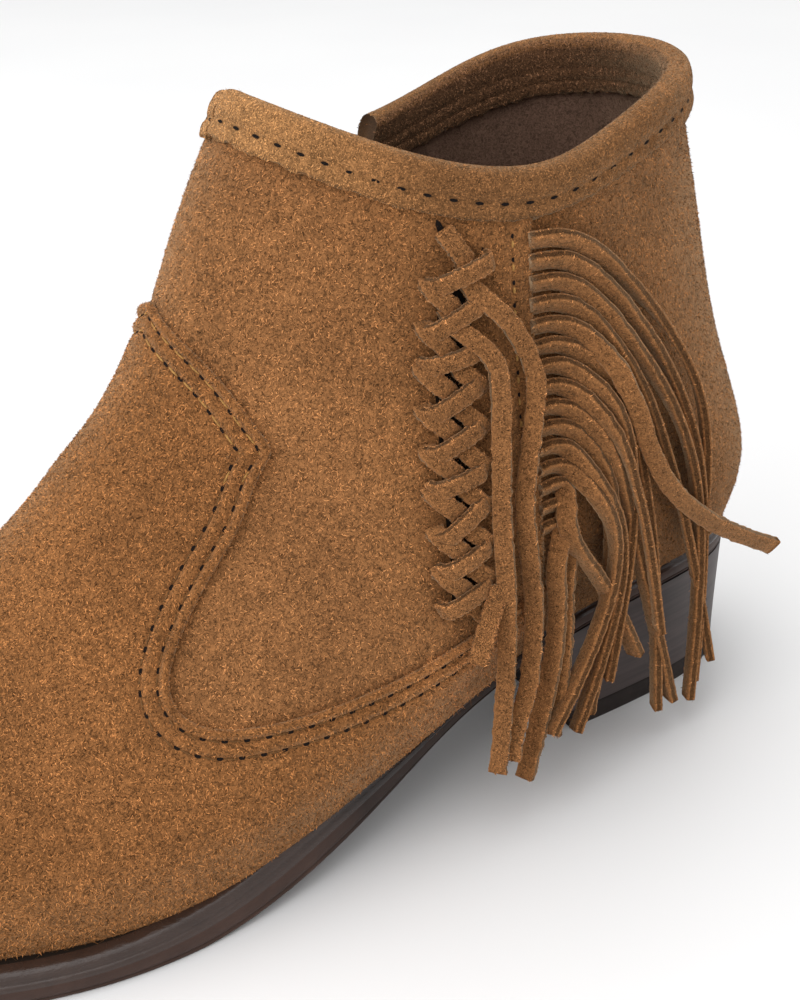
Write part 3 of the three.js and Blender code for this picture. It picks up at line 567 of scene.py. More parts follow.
def grow_nap(name, fields, count, material, length=0.75, width=0.23, lift=0.36, holes=None):
    """Short tapered fibres that stand on the grids of one piece. A field is a grid, the side on
    which they stand, and their density by cell."""
    roots = []
    normals = []
    areas = []
    for grid, _, cells in fields:
        across = grid[:-1, 1:] - grid[:-1, :-1]
        rise = grid[1:, :-1] - grid[:-1, :-1]
        area = np.linalg.norm(np.cross(across, rise), axis=-1)
        areas.append(area if cells is None else area * cells)
    total = sum(area.sum() for area in areas)
    for (grid, side, _), area in zip(fields, areas):
        number = int(count * area.sum() / total)
        chances = (area / area.sum()).ravel()
        cell = RANDOM.choice(len(chances), number, p=chances)
        i, k = np.unravel_index(cell, area.shape)
        u = RANDOM.random((number, 1))
        v = RANDOM.random((number, 1))
        low = lerp(grid[i, k], grid[i, k + 1], u)
        high = lerp(grid[i + 1, k], grid[i + 1, k + 1], u)
        roots.append(lerp(low, high, v))
        across = grid[i, k + 1] - grid[i, k]
        rise = grid[i + 1, k] - grid[i, k]
        normals.append(unit(np.cross(across, rise)) * side)
    roots = np.concatenate(roots)
    normals = np.concatenate(normals)
    if holes is not None:
        clear = np.ones(len(roots), bool)
        for hole in holes:
            clear &= np.abs(roots - hole).max(1) > HOLE_CLEAR
        roots = roots[clear]
        normals = normals[clear]
    number = len(roots)
    heading = unit(RANDOM.normal(0, 1, (number, 3)) + np.array(COMB))
    flat = unit(heading - normals * (heading * normals).sum(1, keepdims=True))
    angle = RANDOM.normal(lift, LIFT_SPREAD, (number, 1))
    lean = unit(flat * np.cos(angle) + normals * np.sin(angle))
    side = unit(np.cross(lean, normals) + RANDOM.normal(0, 0.25, (number, 3)))
    long = length * RANDOM.uniform(0.55, 1.3, (number, 1))
    wide = width * RANDOM.uniform(0.7, 1.3, (number, 1))
    base = roots - normals * ROOT_DEPTH
    points = np.stack([
        base - side * wide / 2, base + side * wide / 2,
        base + lean * long + side * wide * TIP_WIDTH / 2,
    ], 1).reshape(-1, 3)
    faces = np.arange(3 * number).reshape(-1, 3)
    tone = np.repeat(RANDOM.normal(0, 1, number), 3)
    tip = np.tile([0.0, 0.0, 1.0], number)
    make_object(name, points, [faces], [material],
                marks={"tone": tone * TONE_SPREAD + 0.5, "tip": tip})


def even_turns(count, start, end, up=0.25):
    """Turns from start to end that are evenly spaced along the form at one level."""
    fine = np.linspace(start, end, 2000)
    length = run_along(form(fine, up))
    return np.interp(np.linspace(0, length[-1], count), length, fine)


def round_turns(count):
    """Turns right round the feather edge, evenly spaced and alike on both sides."""
    half = even_turns(count, 0.0, math.pi, 0.0)
    return np.concatenate([half, 2 * math.pi - half[-2:0:-1]])


# Materials

class Look:
    """A material with its nodes, made and linked by short calls."""

    def __init__(self, name):
        self.material = bpy.data.materials.new(name)
        self.material.use_nodes = True
        self.nodes = self.material.node_tree.nodes
        self.link = self.material.node_tree.links.new
        self.shader = self.nodes["Principled BSDF"]

    def set(self, name, value):
        """Link or set one of the shader's own inputs."""
        self.feed(self.shader.inputs[name], value)

    def node(self, kind, **settings):
        made = self.nodes.new(kind)
        for key, value in settings.items():
            setattr(made, key, value)
        return made

    def feed(self, socket, value):
        """Link or set an input."""
        if isinstance(value, bpy.types.NodeSocket):
            self.link(value, socket)
        elif isinstance(value, tuple):
            socket.default_value = (*value, 1)
        else:
            socket.default_value = value

    def place(self, stretch=(1, 1, 1)):
        """Object coordinates in millimetres."""
        place = self.node("ShaderNodeTexCoord")
        mapping = self.node("ShaderNodeMapping")
        mapping.inputs["Scale"].default_value = [1000 * share for share in stretch]
        self.link(place.outputs["Object"], mapping.inputs["Vector"])
        return mapping.outputs["Vector"]

    def noise(self, place, scale, detail, rough, bend):
        made = self.node("ShaderNodeTexNoise", noise_type="FBM", normalize=True)
        made.inputs["Scale"].default_value = scale
        made.inputs["Detail"].default_value = detail
        made.inputs["Roughness"].default_value = rough
        made.inputs["Distortion"].default_value = bend
        self.link(place, made.inputs["Vector"])
        return made.outputs["Fac"]

    def ramp(self, value, stops):
        made = self.node("ShaderNodeValToRGB")
        elements = made.color_ramp.elements
        while len(elements) < len(stops):
            elements.new(0.5)
        for element, (place, colour) in zip(elements, stops):
            element.position = place
            element.color = (*colour, 1)
        self.link(value, made.inputs["Fac"])
        return made.outputs["Color"]

    def mix(self, amount, first, second, blend="MIX"):
        made = self.node("ShaderNodeMix", data_type="RGBA", blend_type=blend)
        for number, value in ((0, amount), (6, first), (7, second)):
            self.feed(made.inputs[number], value)
        return made.outputs[2]

    def times(self, first, second):
        return self.mix(1.0, first, second, "MULTIPLY")

    def maths(self, work, first, second):
        made = self.node("ShaderNodeMath", operation=work)
        for socket, value in zip(made.inputs, (first, second)):
            self.feed(socket, value)
        return made.outputs[0]

    def bump(self, height, depth, strength):
        made = self.node("ShaderNodeBump")
        made.inputs["Distance"].default_value = depth * MM
        made.inputs["Strength"].default_value = strength
        self.link(height, made.inputs["Height"])
        return made.outputs["Normal"]

    def mark(self, name):
        """A value that the mesh carries at its vertices."""
        return self.node("ShaderNodeAttribute", attribute_name=name).outputs["Fac"]


def scaled(colour, share):
    return tuple(value * share for value in colour)


def wear_and_sheen_patches(look, place, colour):
    """Soft patches: random tone from wear, and painted sheen where the nap is brushed one way or
    the other.
    """
    patches = look.noise(place, 0.05, 3, 0.6, 0.5)
    blotches = look.noise(place, 0.2, 3, 0.6, 0.3)
    tone = look.ramp(patches, [(0.32, (0.87, 0.86, 0.85)), (0.68, (1.12, 1.12, 1.11))])
    mixed = look.times(colour, tone)
    tone = look.ramp(blotches, [(0.32, (0.92, 0.92, 0.92)), (0.68, (1.08, 1.08, 1.08))])
    return look.times(mixed, tone)


def paint_light_by_length(look, colour, light_and_shade):
    """Painted light and shade by the place from the heel's centre to the instep."""
    split = look.node("ShaderNodeSeparateXYZ")
    look.link(look.place(), split.inputs[0])
    share = look.maths("DIVIDE", split.outputs["X"], 100.0)
    return look.times(colour, look.ramp(share, light_and_shade))


def velvet(look, sheen):
    """Dull skin with a warm bloom at grazing angles."""
    look.set("Roughness", 0.95)
    look.set("Specular IOR Level", 0.1)
    look.set("Sheen Weight", sheen)
    look.set("Sheen Roughness", 0.4)
    look.set("Sheen Tint", (1.0, 0.74, 0.46))


def suede(name, colour, contrast=1.0, relief=0.45, cut=False, facing=False, light_and_shade=None):
    """Napped leather: curled fibres as speckle and bump over soft patches, the speckle carrying
    painted highlight and shade.
    """
    look = Look(name)
    place = look.place()
    curls = look.noise(place, 1.25, 4, 0.62, 1.4)
    grit = look.noise(place, 4.5, 2, 0.6, 0.5)
    height = look.maths("ADD", curls, look.maths("MULTIPLY", grit, 0.5))
    height = look.maths("DIVIDE", height, 1.5)
    # Speckle follows the bump's height: painted shade in the low gaps and painted highlight on the
    # high curls
    dark = scaled(colour, 1 - 0.6 * contrast)
    light = scaled(colour, 1 + 0.45 * contrast)
    speckle = look.ramp(height, [(0.4, dark), (0.5, colour), (0.62, light)])
    shade = wear_and_sheen_patches(look, place, speckle)
    if cut:
        core = look.mark("raw")
        rim = look.mark("rim")
        fibres = look.noise(place, 2.6, 3, 0.7, 2.0)
        inside = look.ramp(fibres, [
            (0.4, scaled(colour, 0.12)), (0.56, scaled(colour, 0.5)), (0.7, scaled(colour, 1.2)),
        ])
        shade = look.mix(core, shade, inside)
        # Frayed rims made paler as a painted highlight
        frayed_rim_highlight = look.ramp(fibres, [(0.4, scaled(colour, 0.9)), (0.62, scaled(colour, 1.9))])
        shade = look.mix(rim, shade, frayed_rim_highlight)
    # Painted shade on the band's inner facing, where the mesh's shade mark is set
    if facing:
        dim = look.mark("shade")
        shade = look.mix(dim, shade, look.times(shade, (0.45, 0.48, 0.62)))
    if light_and_shade:
        shade = paint_light_by_length(look, shade, light_and_shade)
    look.set("Base Color", shade)
    velvet(look, 0.5)
    look.set("Normal", look.bump(height, relief, 0.9))
    return look.material


def nap_fibres(name, colour, light_and_shade=None, contrast=1.0):
    """Single fibres: each has its own tone, and its tip is painted paler as a highlight."""
    look = Look(name)
    tone = look.mark("tone")
    tip = look.mark("tip")
    shade = look.ramp(tone, [
        (0.0, scaled(colour, 1 - 0.78 * contrast)), (0.5, scaled(colour, 0.88)),
        (1.0, scaled(colour, 1 + 1.5 * contrast)),
    ])
    if light_and_shade:
        shade = paint_light_by_length(look, shade, light_and_shade)
    shade = wear_and_sheen_patches(look, look.place(), shade)
    tip_highlight = look.times(shade, (1.25, 1.25, 1.25))
    look.set("Base Color", look.mix(tip, shade, tip_highlight))
    velvet(look, 0.55)
    return look.material


def rubber(name, colour, gloss, coat, relief=0.05, light_and_shade=None):
    """Moulded sole: faint mottling, fine scuffs and a worn sheen."""
    look = Look(name)
    place = look.place()
    mottle = look.noise(place, 0.12, 4, 0.6, 0.6)
    scuffs = look.noise(look.place((0.25, 0.25, 1.6)), 1.3, 3, 0.6, 0.8)
    shade = look.ramp(mottle, [(0.3, scaled(colour, 0.8)), (0.7, scaled(colour, 1.2))])
    if light_and_shade:
        shade = paint_light_by_length(look, shade, light_and_shade)
    look.set("Base Color", shade)
    rough = look.maths("ADD", look.maths("MULTIPLY", scuffs, 0.3), gloss)
    look.set("Roughness", rough)
    look.set("Coat Weight", coat)
    look.set("Coat Roughness", 0.22)
    look.set("Specular IOR Level", 0.22)
    look.set("Normal", look.bump(scuffs, relief, 0.5))
    return look.material


def heel_material():
    """Stacked heel: thin layers that show as faint level lines."""
    colour = (0.056, 0.040, 0.037)
    look = Look("heel_stack")
    layered = look.place((0.04, 0.04, 1))
    lines = look.noise(layered, 0.55, 3, 0.7, 0.15)
    mottle = look.noise(look.place(), 0.1, 3, 0.6, 0.5)
    shade = look.ramp(lines, [(0.4, scaled(colour, 0.8)), (0.6, scaled(colour, 1.15))])
    soft = look.ramp(mottle, [(0.3, (0.88, 0.88, 0.9)), (0.7, (1.1, 1.08, 1.06))])
    look.set("Base Color", look.times(shade, soft))
    look.set("Roughness", 0.5)
    look.set("Specular IOR Level", 0.35)
    look.set("Normal", look.bump(lines, 0.08, 0.5))
    return look.material


def plain_leather(name, colour):
    """Smooth lining leather with a fine grain."""
    look = Look(name)
    place = look.place()
    grain = look.noise(place, 1.8, 3, 0.6, 0.6)
    wear = look.noise(place, 0.07, 3, 0.6, 0.4)
    shade = look.ramp(wear, [(0.3, scaled(colour, 0.8)), (0.7, scaled(colour, 1.15))])
    look.set("Base Color", shade)
    look.set("Roughness", 0.7)
    look.set("Normal", look.bump(grain, 0.12, 0.5))
    return look.material


def flat_dark(name, colour, rough):
    """Threads, raw edges and patches of painted shade: fine fibres in one tone."""
    look = Look(name)
    twist = look.noise(look.place(), 3.2, 2, 0.6, 1.0)
    shade = look.ramp(twist, [(0.35, scaled(colour, 0.7)), (0.65, scaled(colour, 1.3))])
    look.set("Base Color", shade)
    look.set("Roughness", rough)
    look.set("Specular IOR Level", 0.2)
    return look.material


def brass():
    look = Look("zip_brass")
    worn = look.noise(look.place(), 0.9, 3, 0.6, 0.4)
    shade = look.ramp(worn, [(0.3, (0.30, 0.20, 0.09)), (0.7, (0.46, 0.32, 0.16))])
    look.set("Base Color", shade)
    look.set("Metallic", 1.0)
    look.set("Roughness", 0.38)
    return look.material


def tape_cloth():
    """Woven zip tape: fine ribs along the zip."""
    look = Look("zip_tape")
    ribs = look.node("ShaderNodeTexWave", wave_type="BANDS", bands_direction="Z")
    ribs.inputs["Scale"].default_value = 0.5
    ribs.inputs["Distortion"].default_value = 0.6
    look.link(look.place(), ribs.inputs["Vector"])
    shade = look.ramp(ribs.outputs["Fac"], [
        (0.2, (0.10, 0.055, 0.03)), (0.8, (0.19, 0.11, 0.06)),
    ])
    look.set("Base Color", shade)
    look.set("Roughness", 0.9)
    look.set("Normal", look.bump(ribs.outputs["Fac"], 0.15, 0.7))
    return look.material


TAN = (0.25, 0.110, 0.040)
# Painted light and shade along the boot: hundreds of millimetres ahead of the origin, and a share
# of the colour
# Collar band: painted shade along its middle and a strong painted highlight on its front top
BAND_PAINTED_LIGHT = [
    (0.0, (0.88, 0.88, 0.88)), (0.35, (0.70, 0.72, 0.74)), (0.52, (0.74, 0.76, 0.78)),
    (0.68, (1.05, 1.1, 1.12)), (0.84, (1.5, 1.68, 1.75)),
]
# Quarter: painted shade towards the heel, painted light towards the front; vamp: painted light on
# its rear part, fading towards the toe
QUARTER_PAINTED_LIGHT = [(0.55, (0.93, 0.91, 0.88)), (0.85, (1.1, 1.1, 1.1))]
VAMP_PAINTED_LIGHT = [(0.60, (1.25, 1.2, 1.16)), (0.85, (1, 0.95, 0.86))]
# Sole and welt: painted shade at the waist, 50 to 85 mm ahead of the origin
WAIST_PAINTED_SHADE = [
    (0.35, (1, 1, 1)), (0.5, (0.45, 0.45, 0.45)), (0.85, (0.45, 0.45, 0.45)), (1, (1, 1, 1)),
]
SUEDE_BAND = suede("suede_band", TAN, cut=True, facing=True, light_and_shade=BAND_PAINTED_LIGHT)
SUEDE_LACE = suede("suede_lace", scaled(TAN, 0.92), relief=0.2, cut=True)
LINING = suede("suede_lining", (0.15, 0.088, 0.062), contrast=0.8)
SUEDE = suede("suede_quarter", TAN, light_and_shade=QUARTER_PAINTED_LIGHT)
SUEDE_VAMP = suede("suede_vamp", TAN, light_and_shade=VAMP_PAINTED_LIGHT)
NAP = nap_fibres("suede_nap", TAN, QUARTER_PAINTED_LIGHT)
NAP_VAMP = nap_fibres("suede_nap_vamp", TAN, VAMP_PAINTED_LIGHT)
NAP_LACE = nap_fibres("suede_nap_lace", scaled(TAN, 0.8))
NAP_BAND = nap_fibres("suede_nap_band", scaled(TAN, 1.06), BAND_PAINTED_LIGHT, 0.65)
# Rim fibres made paler as a painted highlight
NAP_RIM_HIGHLIGHT = nap_fibres("suede_nap_rim", scaled(TAN, 1.55))
# Fibres darkened as painted shade on the band's inner facing
NAP_FACING_SHADE = nap_fibres("suede_nap_facing", (0.125, 0.062, 0.032))
SOLE_RUBBER = rubber("sole_rubber", (0.055, 0.029, 0.021), 0.38, 0.02, light_and_shade=WAIST_PAINTED_SHADE)
WELT_RUBBER = rubber("welt_rubber", (0.042, 0.024, 0.018), 0.1, 0.5, 0.5, WAIST_PAINTED_SHADE)
LIFT_RUBBER = rubber("lift_rubber", (0.02, 0.014, 0.012), 0.5, 0.0)
HEEL_STACK = heel_material()
SOCK = plain_leather("insole_leather", (0.16, 0.09, 0.05))
# Near-black ovals of painted shade for stitch holes and slits
HOLE_SHADE = flat_dark("stitch_hole_shade", (0.008, 0.005, 0.004), 0.95)
# Near-black sheet of painted shadow: the sole's dark line, there also black cement, and the braid's
# ground
SHADOW_DARK = flat_dark("painted_shadow_dark", (0.012, 0.007, 0.004), 0.95)
RAW_EDGE = flat_dark("raw_edge", (0.09, 0.045, 0.02), 0.95)
THREAD = flat_dark("stitch_thread", (0.40, 0.21, 0.06), 0.6)
THREAD_DARK = flat_dark("stitch_thread_dark", (0.16, 0.075, 0.025), 0.8)
BRASS = brass()
TAPE = tape_cloth()


# Upper: one skin from the zip's front edge round the toe and heel to its rear edge

def panel_relief(x):
    """The strip ahead of the side seam: a raised edge with its stitched groove."""
    ahead = x - SIDE_SEAM
    raised = PANEL_RAISE * (1 - smooth((ahead - PANEL_ROW + 0.4) / 0.9))
    return raised - 0.3 * np.exp(-(((ahead - PANEL_ROW) / 0.5) ** 2))


# Columns and rows of the upper's mesh: the turns by which the columns are spread from the zip
# to the side seam, and the dense ones just ahead of the seam that carry the panel's edge
UPPER_ROWS = 104
FRONT_COLUMNS = 310
REAR_COLUMNS = 180
ZIP_TURN = 2.0
SEAM_TURN = 1.9
DENSE_FROM = 0.962
DENSE_COLUMNS = 16
CUT_TURN = 0.0015


def zip_turns(up):
    """Turns of the front and the rear edge of the zip's slit."""
    half = SLOT_WIDTH / 2
    return turn_at(SIDE_SEAM + half, up, True) - 2 * math.pi, turn_at(SIDE_SEAM - half, up, True)


def even_shares(count, start, end):
    turns = even_turns(count, start, end)
    return (turns - turns[0]) / (turns[-1] - turns[0])


def upper_columns(up):
    """Turns of the columns at each level: front quarter, then rear quarter."""
    zip_front, zip_rear = zip_turns(up)
    seam = turn_at(SIDE_SEAM, up, False)
    front_share = even_shares(FRONT_COLUMNS, -ZIP_TURN, SEAM_TURN)
    coarse = front_share[front_share < DENSE_FROM]
    front_share = np.concatenate([coarse, np.linspace(DENSE_FROM, 1, DENSE_COLUMNS)])
    rear_share = even_shares(REAR_COLUMNS, SEAM_TURN, 2 * math.pi - ZIP_TURN)
    front = lerp(zip_front[:, None], seam[:, None], front_share[None])
    rear = lerp(seam[:, None], zip_rear[:, None], rear_share[None])
    return front, rear


def under_vamp(x, z):
    """Whether points in side view lie under the vamp."""
    edge = [(x_along(along), up * SHAFT_HEIGHT) for along, up, _ in VAMP]
    corner = x_along(1) + 60
    polygon = edge + [(edge[-1][0], -60), (corner, -60), (corner, edge[0][1])]
    inside = np.zeros(x.shape, bool)
    for (x0, z0), (x1, z1) in zip(polygon, polygon[1:] + polygon[:1]):
        if z0 != z1:
            crossed = (z0 > z) != (z1 > z)
            inside ^= crossed & (x < (x1 - x0) * (z - z0) / (z1 - z0) + x0)
    return inside


def upper_outer(up):
    """Turns and points of the outer face, whose rear quarter lies a step lower."""
    front, rear = upper_columns(up)
    level = up[:, None]
    seam_x = side_view((1 + np.cos(front)) / 2, level)[..., 0]
    front_out = panel_relief(seam_x) * (front > 0)
    rear_out = np.full(rear.shape, -QUARTER_STEP)
    turns = np.concatenate([front, front[:, -1:] + CUT_TURN, rear[:, 1:]], 1)
    outs = np.concatenate([front_out, front_out[:, -1:] - QUARTER_STEP, rear_out[:, 1:]], 1)
    return turns, skin(turns, level, outs)


def upper_inner(up):
    """Points of the inner face, in a third of the rows."""
    up = up[::3]
    if up[-1] < 1:
        up = np.append(up, 1.0)
    front, rear = upper_columns(up)
    turns = np.concatenate([front, front[:, -1:], rear[:, 1:]], 1)
    inner = off(turns, up[:, None], -WALL)
    inner[0, :, 2] = np.maximum(inner[0, :, 2], feather(along_at(inner[0, :, 0])) + WALL)
    return inner


def add_margin(build, turns, outer, inner):
    """The lasting margin, turned in under the foot from the outer face's foot to the inner's."""
    margin = [outer]
    for inset, rise in ((2, 0), (LASTING_MARGIN, 0), (LASTING_MARGIN, WALL), (WALL, WALL)):
        ring = foot_ring(turns, -inset)
        ring[:, 2] = feather(along_at(ring[:, 0])) + rise
        margin.append(ring)
    margin.append(inner)
    build.add_grid(np.stack(margin), 1, flip=True, close_columns=True)


def add_bridge(build, turns, up):
    """The wall below the zip's slit."""
    side = np.linspace(0, 1, 4)
    turns = lerp(turns[:, -1:], turns[:, :1] + 2 * math.pi, side)
    outer = skin(turns, up[:, None], lerp(-QUARTER_STEP, 0.0, smooth(side)))
    inner = off(turns, up[:, None], -WALL)
    build.add_grid(outer)
    build.add_grid(inner, 1, flip=True)
    build.add_grid(np.stack([outer[-1], inner[-1]]))


def make_upper():
    build = Build()
    foot_up = float(place_at(SIDE_SEAM, ZIP_FOOT, True)[1])
    up = np.linspace(0, 1, UPPER_ROWS)
    foot_row = int(np.argmin(abs(up - foot_up)))
    up[foot_row] = foot_up
    turns, outer = upper_outer(up)
    inner = upper_inner(up)
    build.add_grid(outer)
    build.add_grid(inner, 1, flip=True)
    build.add_grid(np.stack([outer[-1], inner[-1]]))
    add_margin(build, turns[0], outer[0], inner[0])
    add_bridge(build, turns[:foot_row + 1], up[:foot_row + 1])
    for end, flip in ((0, False), (-1, True)):
        behind = off(turns[foot_row:, end], up[foot_row:], -WALL)
        build.add_grid(np.stack([outer[foot_row:, end], behind]), flip=flip)
    build.finish("upper_suede", [SUEDE, LINING], ["upper"])
    bare = ~under_vamp(outer[..., 0], outer[..., 2])
    cells = bare[:-1, :-1] | bare[1:, 1:]
    grow_nap("upper_nap", [(outer, 1, cells)], UPPER_FIBRES, NAP, holes=side_seam_stitches())


def side_seam_stitches():
    """Stitches down the panel ahead of the side seam."""
    z = np.arange(FRINGE_TOP + 1.5, ZIP_FOOT, -STITCH_PITCH * 1.05)
    x = np.full(len(z), SIDE_SEAM + PANEL_ROW)
    turn, up = place_at(x, z, False)
    points = off(turn, up, panel_relief(x) + 0.04)
    normals = outward(turn, up)
    below = off(*place_at(x, z - 1, False), panel_relief(x) + 0.04)
    ahead = unit(below - points)
    build = Build()
    add_holes(build, points, ahead, normals, 0.95, 0.75)
    add_threads(build, points + ahead * 1.5, ahead, normals, 1.3, 0.3, 1)
    build.finish("seam_stitches", [HOLE_SHADE, THREAD])
    return points


# Stitches

HOLE_CORNERS = 8
HOLE_OUT = 0.12
# Rings of a thread: place along it and size, both as shares
THREAD_RINGS = [(-0.5, 0.35), (-0.32, 0.85), (0, 1), (0.32, 0.85), (0.5, 0.35)]
THREAD_SIDES = 6


def add_holes(build, points, ahead, normals, long, wide, slot=0):
    """Dark ovals just off the suede: painted shade of holes sunk in it."""
    side = np.cross(normals, ahead)
    ring = np.stack([
        points + ahead * (long / 2 * math.cos(a)) + side * (wide / 2 * math.sin(a))
        + normals * HOLE_OUT
        for a in np.linspace(0, 2 * math.pi, HOLE_CORNERS + 1)[:-1]
    ], 1)
    build.add(ring, np.arange(len(points) * HOLE_CORNERS).reshape(-1, HOLE_CORNERS), slot)


def add_threads(build, points, ahead, normals, long, radius, slot=0):
    """Short threads that dip at both ends."""
    side = np.cross(normals, ahead)
    rings = []
    for place, size in THREAD_RINGS:
        middle = points + ahead * (long * place) + normals * (0.05 + radius * (size - 0.75))
        rings.append(np.stack([
            middle + radius * size * (side * math.cos(a) + normals * 0.8 * math.sin(a))
            for a in np.linspace(0, 2 * math.pi, THREAD_SIDES + 1)[:-1]
        ], 1))
    for k in range(len(points)):
        build.add_grid([ring[k] for ring in rings], slot, flip=True, close_columns=True)


# Vamp overlay, in rows that start at its raised edge

# Spacing of its columns along the edge, distance of the first rows from the edge, number of
# rows from there to the feather edge, and the run over which the rows' heading is evened out
VAMP_SPACING = 1.05
NEAR_GAPS = [
    0.35, 0, 0.1, 0.4, 0.8, 1.2, 1.6, 1.9, 2.2, 2.5, 2.9, 3.4, 3.9, 4.4, 4.8, 5.1, 5.4, 5.7,
    6.1, 6.7, 7.4,
]
NEAR_ROWS = len(NEAR_GAPS) + 4
FAR_ROWS = 84
HEADING_RUN = 6.0
STRAY_ROWS = 4              # rows above the feather edge where long stray fibres stand
VAMP_TOP = GAP + VAMP_THICKNESS


def vamp_edge(inner):
    """Turn and level of the raised edge, and the turn at which each row meets the feather."""
    xs = [x_along(along) for along, _, _ in VAMP]
    zs = [up * SHAFT_HEIGHT for _, up, _ in VAMP]
    turn, up = place_at(np.array(xs), np.array(zs), inner)
    if inner:
        turn = turn - 2 * math.pi
    ridge_up = np.interp(zs[0], instep_line(np.linspace(0, 1, 400))[:, 1], np.linspace(0, 1, 400))
    turn[0] = 0
    up[0] = ridge_up
    places = run_along(off(turn, up, 0))
    target = np.arccos(np.clip(2 * np.array(column(VAMP, 2)) - 1, -1, 1))
    if inner:
        target = -target
    target[0] = 0
    curve = spline(places, np.stack([turn, up, target], -1))
    return curve(np.linspace(0, places[-1], int(places[-1] / VAMP_SPACING) + 1))


def square_rows(line, gaps):
    """Turn and level of rows that run beside the edge line, square to it."""
    turn = line[:, 0]
    up = line[:, 1]
    along_turn = (form(turn + STEP, up) - form(turn - STEP, up)) / (2 * STEP)
    along_up = (form(turn, up + STEP) - form(turn, up - STEP)) / (2 * STEP)
    points = form(turn, up)
    run = run_along(points)
    ahead = unit(np.gradient(points, axis=0))
    toward = np.cross(outward(turn, up), ahead)
    middle = len(line) // 2
    toward = toward * np.sign(toward[middle, 0])
    weights = np.exp(-(((run[:, None] - run[None]) / HEADING_RUN) ** 2))
    toward = unit(weights @ toward)
    basis = np.stack([along_turn, along_up], -1)
    moves = np.stack([
        np.linalg.lstsq(basis[k], toward[k], rcond=None)[0] for k in range(len(line))
    ])
    return line[None, :, :2] + np.asarray(gaps)[:, None, None] * moves[None]


def nearest(points, line):
    """Distance of each point to the nearest of a dense line of points."""
    best = np.full(len(points), 1e9)
    for start in range(0, len(line), 64):
        part = line[start:start + 64]
        gaps = np.linalg.norm(points[:, None] - part[None], axis=2).min(1)
        best = np.minimum(best, gaps)
    return best


# Beads and stitched grooves beside the raised edge: height, distance from the edge, spread
RIM = [(0.55, 0.9, 0.8), (0.3, 3.8, 0.9)] + [(-0.45, row, 0.5) for row in VAMP_ROWS]


def rim_relief(gap):
    """Height of the vamp's skin by its distance to the raised edge."""
    rim = sum(high * np.exp(-(((gap - place) / spread) ** 2)) for high, place, spread in RIM)
    return VAMP_TOP + rim * smooth(gap / 0.5)


def vamp_rows(line):
    """Turn and level of the rows: square to the edge at first, then down to the feather."""
    close = square_rows(line, NEAR_GAPS)
    close[..., 1] = np.maximum(close[..., 1], STEP)
    starts = close[-1]
    ends = np.stack([line[:, 2], np.zeros(len(line))], -1)
    walk = np.linspace(0, 1, 24)
    trace = lerp(starts[None], ends[None], walk[:, None, None])
    track = form(trace[..., 0], trace[..., 1])
    steps = np.linalg.norm(np.diff(track, axis=0), axis=2)
    run = np.concatenate([np.zeros((1, len(line))), np.cumsum(steps, 0)])
    share = np.stack([
        np.interp(np.linspace(0, run[-1, k], FAR_ROWS + 1)[1:], run[:, k], walk)
        for k in range(len(line))
    ], 1)
    return close, ends, np.concatenate([close, lerp(starts[None], ends[None], share[..., None])])


def make_vamp():
    build = Build()
    line = np.concatenate([vamp_edge(True)[:0:-1], vamp_edge(False)])
    close, ends, place = vamp_rows(line)
    out = np.full(place.shape[:2], VAMP_TOP)
    flat = off(place[..., 0], place[..., 1], out)
    gaps = nearest(flat[:NEAR_ROWS].reshape(-1, 3), flat[1]).reshape(NEAR_ROWS, -1)
    out[:NEAR_ROWS] = rim_relief(gaps)
    out[:3] = np.array([GAP - 0.1, 0.9, VAMP_TOP])[:, None]
    outer = skin(place[..., 0], place[..., 1], out)
    build.add_grid(outer, flip=True)
    under_place = lerp(close[0][None], ends[None], np.linspace(1, 0, 8)[:, None, None])
    under = skin(under_place[..., 0], under_place[..., 1], GAP)
    build.add_grid(under, flip=True)
    build.add_grid(np.stack([outer[-1], under[0]]), flip=True)
    for end, flip in ((0, False), (-1, True)):
        behind = off(place[:, end, 0], place[:, end, 1], GAP)
        build.add_grid(np.stack([outer[:, end], behind]), flip=flip)
    build.finish("vamp_suede", [SUEDE_VAMP], ["vamp"])
    holes = vamp_stitches(outer, gaps)
    grow_nap("vamp_nap", [(outer, -1, None)], VAMP_FIBRES, NAP_VAMP, holes=holes)
    low = outer[-STRAY_ROWS - 1:]
    grow_nap("feather_strays", [(low, -1, None)], STRAY_FIBRES, NAP_VAMP, 2.0, 0.14, 0.5)


# Columns on each side of the toe's middle where the vamp's thread shows its golden tone
GOLDEN_COLUMNS = 42


def vamp_stitches(outer, gaps):
    build = Build()
    found = []
    for number, row in enumerate(VAMP_ROWS):
        line = []
        for k in range(outer.shape[1]):
            i = max(4, int(np.argmax(gaps[3:, k] > row)) + 3)
            part = (row - gaps[i - 1, k]) / (gaps[i, k] - gaps[i - 1, k])
            line.append(lerp(outer[i - 1, k], outer[i, k], part))
        line = np.array(line)
        run = run_along(line)
        places = np.arange(1 + number * 2, run[-1] - 1, STITCH_PITCH)
        points = np.stack([np.interp(places, run, line[:, axis]) for axis in range(3)], -1)
        after = np.stack([np.interp(places + 0.4, run, line[:, axis]) for axis in range(3)], -1)
        ahead = unit(after - points)
        columns = np.interp(places, run, np.arange(len(line))).astype(int)
        rise = unit(outer[12, columns] - outer[6, columns])
        normals = unit(np.cross(rise, ahead))
        add_holes(build, points, ahead, normals, 1.3, 0.85)
        golden = np.abs(columns - outer.shape[1] // 2) < GOLDEN_COLUMNS
        middles = points + ahead * STITCH_PITCH / 2
        for pick, slot, radius in ((golden, 1, 0.24), (~golden, 2, 0.2)):
            add_threads(build, middles[pick], ahead[pick], normals[pick], 2.6, radius, slot)
        found.append(points)
    build.finish("vamp_stitches", [HOLE_SHADE, THREAD, THREAD_DARK])
    return np.concatenate(found)


# Collar band, rolled over the collar and stitched through

